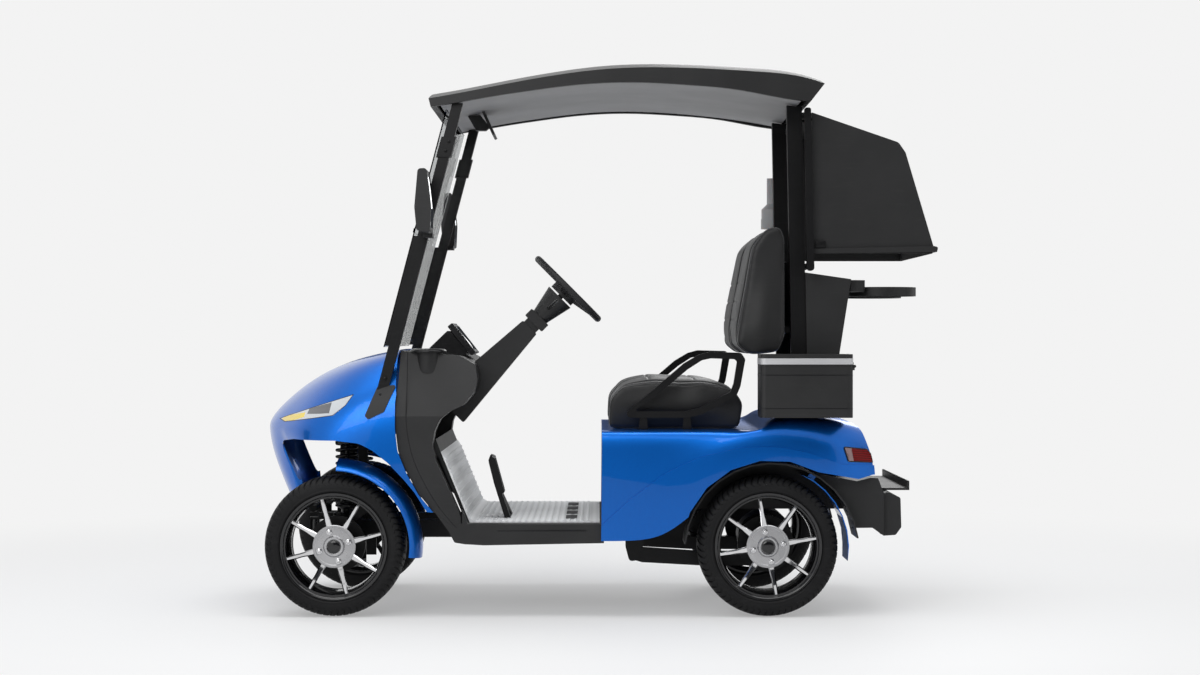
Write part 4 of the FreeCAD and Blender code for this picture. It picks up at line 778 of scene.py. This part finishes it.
SCREEN_SIZE, SCREEN_MIDDLE = (1.6, 214, 112), (509.6, 150, 1029.8)
SCREEN_TURN = Matrix.Rotation(math.radians(38), 3, "Y")
glass = moulded("screen_glass", (0.010, 0.013, 0.018), (0.014, 0.018, 0.024), 0.08, 900.0, 0.00001, 0.02,
                0.0, more={"Coat Weight": 1.0})
gloss = moulded("screen_bezel", (0.010, 0.010, 0.011), (0.014, 0.014, 0.015), 0.25, 900.0, 0.00003)
dress(gloss, "display_screen")
screen = slab(SCREEN_SIZE, SCREEN_MIDDLE, 7.0, 0.5, SCREEN_TURN)
finish(screen, "display_glass", glass, "chassis")


# Windscreen and front posts: flat satin black steel posts in rubber boots and a clear acrylic screen in two
# leaves, with the fold's catches and the posts' bolts, at head and foot, on the outer faces.
dress(steel, "front_posts")
clear, surface = paint_nodes("clear_acrylic")
set_sockets(surface, {"Base Color": (0.96, 0.98, 0.98, 1.0), "Transmission Weight": 1.0, "Roughness": 0.01,
                      "IOR": 1.12})
tree = clear.node_tree
marks = shader_node(tree, "Group", {"Scale": 5.0, "Amount": 0.06}, node_tree=SCUFFS)
wire(tree, marks, "Mask", surface, "Roughness")
dress(clear, "windshield")

POST_FACE, BOLT_RADIUS, BOLT_LENGTH = 572.6, 6.5, 4.0
POST_BOLTS = ((561, 1718), (549, 1752), (801, 820), (784, 880))
CATCH_SIZE, CATCH_PLACE = (7.0, 30, 44), (640, 574.0, 1430)
heads = bmesh.new()
for x, z in POST_BOLTS:
    head = nut_shape(BOLT_RADIUS * MM, BOLT_LENGTH * MM)
    shift(head, (x, POST_FACE, z))
    merged(heads, head)
merged(heads, slab(CATCH_SIZE, CATCH_PLACE, 6.0, 1.5, upright))
finish(both_sides(heads), "post_fasteners", steel, "chassis", 30.0)


# Mirrors: black moulded shells on short arms. Each has its silvered glass let into the face that looks
# back, which leans forward above and below a level fold.
GLASS_SIZE, GLASS_MIDDLE, GLASS_CORNER = (2.0, 118, 186), (0.0, 704, 1520), 20.0
GLASS_FOLD, LEAN_ABOVE, LEAN_BELOW = 1500.0, 16.0 / 140.0, 4.0 / 92.0
mirror = moulded("mirror_glass", (0.80, 0.82, 0.84), (0.84, 0.86, 0.88), 0.015, 600.0, 0.000001, 0.0, 0.0,
                 more={"Metallic": 1.0})
low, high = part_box("side_mirrors")
plates = slab(GLASS_SIZE, GLASS_MIDDLE, GLASS_CORNER, 0.5)
for height in range(1440, 1620, 12):
    bmesh.ops.bisect_plane(plates, geom=plates.verts[:] + plates.edges[:] + plates.faces[:], dist=0.000001,
                           plane_co=(0, 0, height * MM), plane_no=(0, 0, 1))
for vert in plates.verts:
    height = vert.co.z / MM - GLASS_FOLD
    vert.co.x += low.x + (max(0.0, height - 4.0) * LEAN_ABOVE + max(0.0, -height) * LEAN_BELOW) * MM
finish(both_sides(plates), "mirror_plates", mirror, "chassis")


# Steering: a leather-bound wheel that turns on a black moulded column, a tapered box with a collar and a
# flared bell under the wheel.
hide = moulded("wheel_leather", (0.014, 0.014, 0.015), (0.020, 0.020, 0.021), 0.5, 700.0, 0.00006)
dress(hide, "steering_wheel")
dress(black, "steering_column")


# Pedals and mat: steel pedals on their base plate, and a ribbed pale rubber mat glued to the floor pan up
# to the kick panel's foot, with a row of grey grip pads across it.
GRIP_SIZE, GRIP_X, GRIP_ROW = (1.6, 150, 42), 100, (-330, -110, 110, 330)
dress(steel, "pedals")
# Painted shade: the pale mat is darker in its rib grooves.
mat = ribbed("ribbed_mat", (0.78, 0.79, 0.80), (0.94, 0.95, 0.96), 26.0, 0.6, (1.0, 0.0, 0.0),
             more={"Coat Weight": 0.0})
dress(mat, "floor_mat")
grip = moulded("grip_grey", (0.05, 0.05, 0.052), (0.07, 0.07, 0.072), 0.8, 1200.0, 0.0003)
mat_verts = nodes["floor_mat"].data.vertices
MAT_TOP = max(vert.co.z for vert in mat_verts if vert.co.x < 0.40 and vert.co.z < 0.365) / MM
level = Matrix.Rotation(math.radians(-90), 3, "Y")
pads = bmesh.new()
for y in GRIP_ROW:
    merged(pads, slab(GRIP_SIZE, (GRIP_X, y, MAT_TOP + 0.5), 4.0, 0.5, level))
finish(pads, "mat_grip_pads", grip, "chassis")


# Seats: two cushions and two backs of foam under black leather, crowned and drawn in between their corners,
# with sewn channels across the middle panel and piping where the side panels meet it.
PAD_SHRINK, PAD_VOXEL = 0.955, 0.0075
CLOTH_PRESSURE, CLOTH_FRAMES = 4.0, 20
SWELL_CAP, SWELL_EASINGS, SKIN_EASINGS = 0.024, 60, 6
PAD_INNER, PAD_SPREAD = 0.028, 0.004
CHANNEL_WIDTH, PIPING_RADIUS = 0.004, 0.0028
LEATHER_LOW, LEATHER_HIGH = (0.010, 0.010, 0.0105), (0.016, 0.016, 0.0165)


def hide_group():
    """Leather: pores and creases as a height, from two sizes of cells and slow wrinkles."""
    group, given, result = new_group("leather_hide", (("Scale", 420.0),), (("Height", "NodeSocketFloat"),))
    where = shader_node(group, "TexCoord")
    pores = shader_node(group, "TexVoronoi")
    wire(group, where, "Object", pores, "Vector")
    wire(group, given, "Scale", pores, "Scale")
    folds = shader_node(group, "TexNoise", {"Scale": 26.0, "Detail": 5.0, "Distortion": 0.6})
    wire(group, where, "Object", folds, "Vector")
    total = shader_node(group, "Math", {1: 0.35}, operation="MULTIPLY_ADD")
    wire(group, pores, "Distance", total, 0)
    wire(group, folds, "Fac", total, 2)
    wire(group, total, "Value", result, "Height")
    return group


leather = moulded("black_leather", LEATHER_LOW, LEATHER_HIGH, 0.42, 900.0, 0.0004, 0.10,
                  more={"Sheen Weight": 0.15})
tree = leather.node_tree
pores = shader_node(tree, "Group", node_tree=hide_group())
bump = shader_node(tree, "Bump", {"Strength": 0.5, "Distance": 0.0007})
wire(tree, pores, "Height", bump, "Height")
wire(tree, bump, "Normal", tree.nodes["Principled BSDF"], "Normal")


def left_solid(node):
    """The left-hand solid of a CAD node, its doubles merged."""
    shape = bmesh.new()
    shape.from_mesh(nodes[node].data)
    bmesh.ops.delete(shape, geom=[vert for vert in shape.verts if vert.co.y < 0], context="VERTS")
    bmesh.ops.remove_doubles(shape, verts=shape.verts, dist=0.00001)
    return shape


def placed(shape, name):
    """A bmesh as an object in the scene, before it rides on anything."""
    mesh = bpy.data.meshes.new(name)
    shape.to_mesh(mesh)
    shape.free()
    piece = bpy.data.objects.new(name, mesh)
    bpy.context.scene.collection.objects.link(piece)
    return piece


def settled(piece):
    """A piece's mesh as its modifiers leave it."""
    bpy.context.view_layer.update()
    ready = piece.evaluated_get(bpy.context.evaluated_depsgraph_get())
    return bpy.data.meshes.new_from_object(ready)


def relaxed(pad):
    """Foam doesn't crease as loose cloth does: the skin is eased over it."""
    ease = pad.modifiers.new("ease", "SMOOTH")
    ease.factor = 0.5
    ease.iterations = SKIN_EASINGS
    mesh = settled(pad)
    pad.modifiers.clear()
    pad.data = mesh
    return pad


def stuffed(node, name):
    """The left-hand pad of a node, remeshed and swollen as cloth under pressure, no more than the cap."""
    shape = left_solid(node)
    middle = sum((vert.co for vert in shape.verts), Vector()) / len(shape.verts)
    for vert in shape.verts:
        vert.co = middle + (vert.co - middle) * PAD_SHRINK
    pad = placed(shape, name)
    remesh = pad.modifiers.new("remesh", "REMESH")
    remesh.mode = "VOXEL"
    remesh.voxel_size = PAD_VOXEL
    even = settled(pad)
    pad.modifiers.clear()
    pad.data = even
    start = [vert.co.copy() for vert in even.vertices]
    cloth = pad.modifiers.new("cloth", "CLOTH")
    cloth.settings.use_pressure = True
    cloth.settings.uniform_pressure_force = CLOTH_PRESSURE
    cloth.settings.effector_weights.gravity = 0.0
    cloth.settings.quality = 4
    cloth.point_cache.frame_start = 1
    cloth.point_cache.frame_end = CLOTH_FRAMES
    for step in range(1, CLOTH_FRAMES + 1):
        bpy.context.scene.frame_set(step)
    swollen = settled(pad)
    moves = [vert.co - old for vert, old in zip(swollen.vertices, start)]
    moves = [move * min(1.0, SWELL_CAP / max(move.length, 0.000001)) for move in moves]
    pairs = [tuple(edge.vertices) for edge in swollen.edges]
    for easing in range(SWELL_EASINGS):
        sums = [move.copy() for move in moves]
        counts = [1] * len(moves)
        for one, other in pairs:
            sums[one] += moves[other]
            sums[other] += moves[one]
            counts[one] += 1
            counts[other] += 1
        moves = [total / count for total, count in zip(sums, counts)]
    for vert, old, move in zip(swollen.vertices, start, moves):
        vert.co = old + move
    pad.modifiers.clear()
    pad.data = swollen
    bpy.context.scene.frame_set(1)
    return relaxed(pad)


def smoothed(pad):
    """One subdivision over a pad, applied."""
    finer = pad.modifiers.new("finer", "SUBSURF")
    finer.levels = 1
    finer.render_levels = 1
    mesh = settled(pad)
    pad.modifiers.clear()
    pad.data = mesh
    return pad


def channel(mesh, origin, normal, depth, keep):
    """Presses a sewn channel into a pad where a plane crosses the faces that keep allows."""
    origin, normal = Vector(origin), Vector(normal)
    mesh.update()
    pushes = [(vert.index, vert.normal.copy()) for vert in mesh.vertices if keep(vert)
              and abs((vert.co - origin).dot(normal)) < 3 * CHANNEL_WIDTH]
    for index, out in pushes:
        vert = mesh.vertices[index]
        away = (vert.co - origin).dot(normal) / CHANNEL_WIDTH
        vert.co -= out * depth * math.exp(-away * away)


def piping(mesh, across):
    """A round piping bead where an upright plane cuts a pad lengthways."""
    cut = bmesh.new()
    cut.from_mesh(mesh)
    bmesh.ops.bisect_plane(cut, geom=cut.verts[:] + cut.edges[:] + cut.faces[:], dist=0.000001,
                           plane_co=(0, across, 0), plane_no=(0, 1, 0), clear_inner=True, clear_outer=True)
    first = max(cut.verts, key=lambda vert: vert.co.z)
    line, here, last = [first.co.copy()], first, None
    while True:
        onward = [edge.other_vert(here) for edge in here.link_edges if edge.other_vert(here) is not last]
        if not onward or onward[0] is first and len(line) > 2:
            break
        last, here = here, onward[0]
        if here is first:
            break
        line.append(here.co.copy())
    cut.free()
    return bead_along(line[::3], PIPING_RADIUS, 2, ring=True)


def mirrored_pad(pad, name):
    """The right-hand pad, as the mirror image of the left-hand one."""
    shape = bmesh.new()
    shape.from_mesh(pad.data)
    bmesh.ops.scale(shape, vec=(1, -1, 1), verts=shape.verts)
    bmesh.ops.reverse_faces(shape, faces=shape.faces)
    return placed(shape, name)


def upholster(pad, node):
    """Leather on a finished pad, fixed to the seat base."""
    pad.data.materials.clear()
    pad.data.materials.append(leather)
    pad.data.shade_smooth()
    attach(pad, "chassis")
    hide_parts(node)


beads = bmesh.new()
low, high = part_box("seat_cushions")
pad = smoothed(stuffed("seat_cushions", "seat_cushion_left"))
for vert in pad.data.vertices:
    vert.co.z = max(vert.co.z, low.z)
    vert.co.x = min(max(vert.co.x, low.x), high.x)
    vert.co.y = min(max(vert.co.y, PAD_INNER), high.y + PAD_SPREAD)
for along in (-0.19, -0.36):
    channel(pad.data, (along, 0, 0), (1, 0, 0), 0.003,
            lambda vert: vert.co.z > 0.80 and 0.12 < vert.co.y < 0.38 and vert.normal.z > 0.3)
for across in (0.10, 0.40):
    channel(pad.data, (0, across, 0), (0, 1, 0), 0.004,
            lambda vert: vert.normal.z > 0.0 and vert.co.z > 0.76)
for across in (0.424, 0.068):
    merged(beads, piping(pad.data, across))
upholster(pad, "seat_cushions")
upholster(mirrored_pad(pad, "seat_cushion_right"), "seat_cushions")
low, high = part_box("seat_backs")
pad = smoothed(stuffed("seat_backs", "seat_back_left"))
for vert in pad.data.vertices:
    vert.co.x = max(vert.co.x, low.x)
    vert.co.y = min(max(vert.co.y, PAD_INNER), high.y + PAD_SPREAD)
    vert.co.z = min(max(vert.co.z, low.z), high.z + PAD_SPREAD)
for up in (1.10, 1.17, 1.24):
    channel(pad.data, (0, 0, up), (0, 0, 1), 0.003,
            lambda vert: 0.11 < vert.co.y < 0.36 and vert.normal.x > 0.3)
for across in (0.09, 0.38):
    channel(pad.data, (0, across, 0), (0, 1, 0), 0.004, lambda vert: vert.normal.x > 0.1)
for across in (0.398, 0.068):
    merged(beads, piping(pad.data, across))
upholster(pad, "seat_backs")
upholster(mirrored_pad(pad, "seat_back_right"), "seat_backs")
# Painted highlight: the piping bead is real, but its lighter grey than the leather paints the lit edge
# along each seam.
piping_highlight_grey = moulded("piping_leather_highlight", (0.050, 0.050, 0.052), (0.070, 0.070, 0.072), 0.25, 900.0, 0.0001)
finish(both_sides(beads), "seat_piping", piping_highlight_grey, "chassis", 60.0)
dress(steel, "armrests")


# Roof: a vacuum-formed black canopy over a pale grey liner, screwed to the posts, and the black bag cover
# hinged behind it on its bars, with a catch on each side.
roof_black = moulded("roof_black", (0.012, 0.012, 0.0125), (0.016, 0.016, 0.0165), 0.40, 900.0, 0.00008)
dress(roof_black, "roof_shell")
liner = moulded("liner_grey", (0.30, 0.30, 0.305), (0.34, 0.34, 0.345), 0.55, 900.0, 0.0001)
dress(liner, "roof_liner")
dress(steel, "rear_posts", "cover_bars")
canvas = moulded("cover_black", (0.014, 0.014, 0.0145), (0.018, 0.018, 0.0185), 0.5, 1100.0, 0.00012)
dress(canvas, "bag_cover")
COVER_CATCH_SIZE, COVER_CATCH_PLACE = (5.0, 40, 26), (-830, 452.5, 1379)
catches = slab(COVER_CATCH_SIZE, COVER_CATCH_PLACE, 4.0, 1.2, upright)
finish(both_sides(catches), "cover_catches", steel, "bag_cover")


# Cooler box: black moulded walls with two pressed joint lines and a pale silver band round the lid.
# The pale plastic bottle stands in its ring.
BOX_REAR, BOX_FRONT, BOX_IN, BOX_OUT, BOX_CORNER = -933.0, -595.0, 444.0, 636.0, 20.0
LID_BAND, JOINT_LINES = (932, 954), ((891.5, 894.5), (769.5, 772.5))


def band(foot, top, proud):
    """A thin band round the box with its rounded corners, from one height to another, in millimetres."""
    shape = bmesh.new()
    bmesh.ops.create_grid(shape, x_segments=1, y_segments=1, size=0.5)
    length, width = BOX_FRONT - BOX_REAR + 2 * proud, BOX_OUT - BOX_IN + 2 * proud
    bmesh.ops.scale(shape, vec=(length * MM, width * MM, 1), verts=shape.verts)
    bmesh.ops.bevel(shape, geom=shape.verts[:], offset=(BOX_CORNER + proud) * MM, offset_type="OFFSET",
                    segments=8, profile=0.5, affect="VERTICES", material=-1)
    base = shape.faces[:]
    raised = bmesh.ops.extrude_face_region(shape, geom=base)["geom"]
    tops = [face for face in raised if isinstance(face, bmesh.types.BMFace)]
    rim = [vert for vert in raised if isinstance(vert, bmesh.types.BMVert)]
    bmesh.ops.translate(shape, verts=rim, vec=(0, 0, (top - foot) * MM))
    caps = [face for face in shape.faces if abs(face.normal.z) > 0.5 or face in tops or face in base]
    bmesh.ops.delete(shape, geom=caps, context="FACES")
    bmesh.ops.recalc_face_normals(shape, faces=shape.faces)
    bmesh.ops.solidify(shape, geom=shape.faces[:], thickness=(proud + 0.6) * MM)
    shift(shape, ((BOX_REAR + BOX_FRONT) / 2, (BOX_OUT + BOX_IN) / 2, foot))
    return shape


silver = moulded("silver_band", (0.54, 0.54, 0.55), (0.60, 0.60, 0.61), 0.40, 900.0, 0.00003, 0.1, 0.0,
                 more={"Metallic": 0.3})
finish(band(*LID_BAND, 1.2), "cooler_lid_band", silver, "cooler_lid", 30.0)
joints = bmesh.new()
for foot, top in JOINT_LINES:
    merged(joints, band(foot, top, 0.6))
finish(joints, "cooler_joint_lines", bead_black, "chassis", 30.0)
bottle = moulded("bottle_plastic", (0.36, 0.36, 0.37), (0.46, 0.46, 0.47), 0.35, 900.0, 0.0001,
                 more={"Subsurface Weight": 0.2})
dress(bottle, "sand_bottle")


# Rear wheel arches: black moulded liners close the wheel wells off from the body. Each is a flat disc cut
# off level at its foot, screwed to the chassis rails.
LINER_X, LINER_Y, LINER_Z = -627.0, 366.0, 262.0
LINER_RADIUS, LINER_FOOT, LINER_WALL = 326.0, 385.0, 3.0
well = bmesh.new()
bmesh.ops.create_circle(well, cap_ends=True, segments=72, radius=LINER_RADIUS * MM)
tip(well, 90, "X")
bmesh.ops.bisect_plane(well, geom=well.verts[:] + well.edges[:] + well.faces[:], dist=0.000001,
                       plane_co=(0, 0, (LINER_FOOT - LINER_Z) * MM), plane_no=(0, 0, -1), clear_outer=True)
bmesh.ops.solidify(well, geom=well.faces[:], thickness=LINER_WALL * MM)
shift(well, (LINER_X, LINER_Y, LINER_Z))
finish(both_sides(well), "rear_arch_liners", black, "chassis")
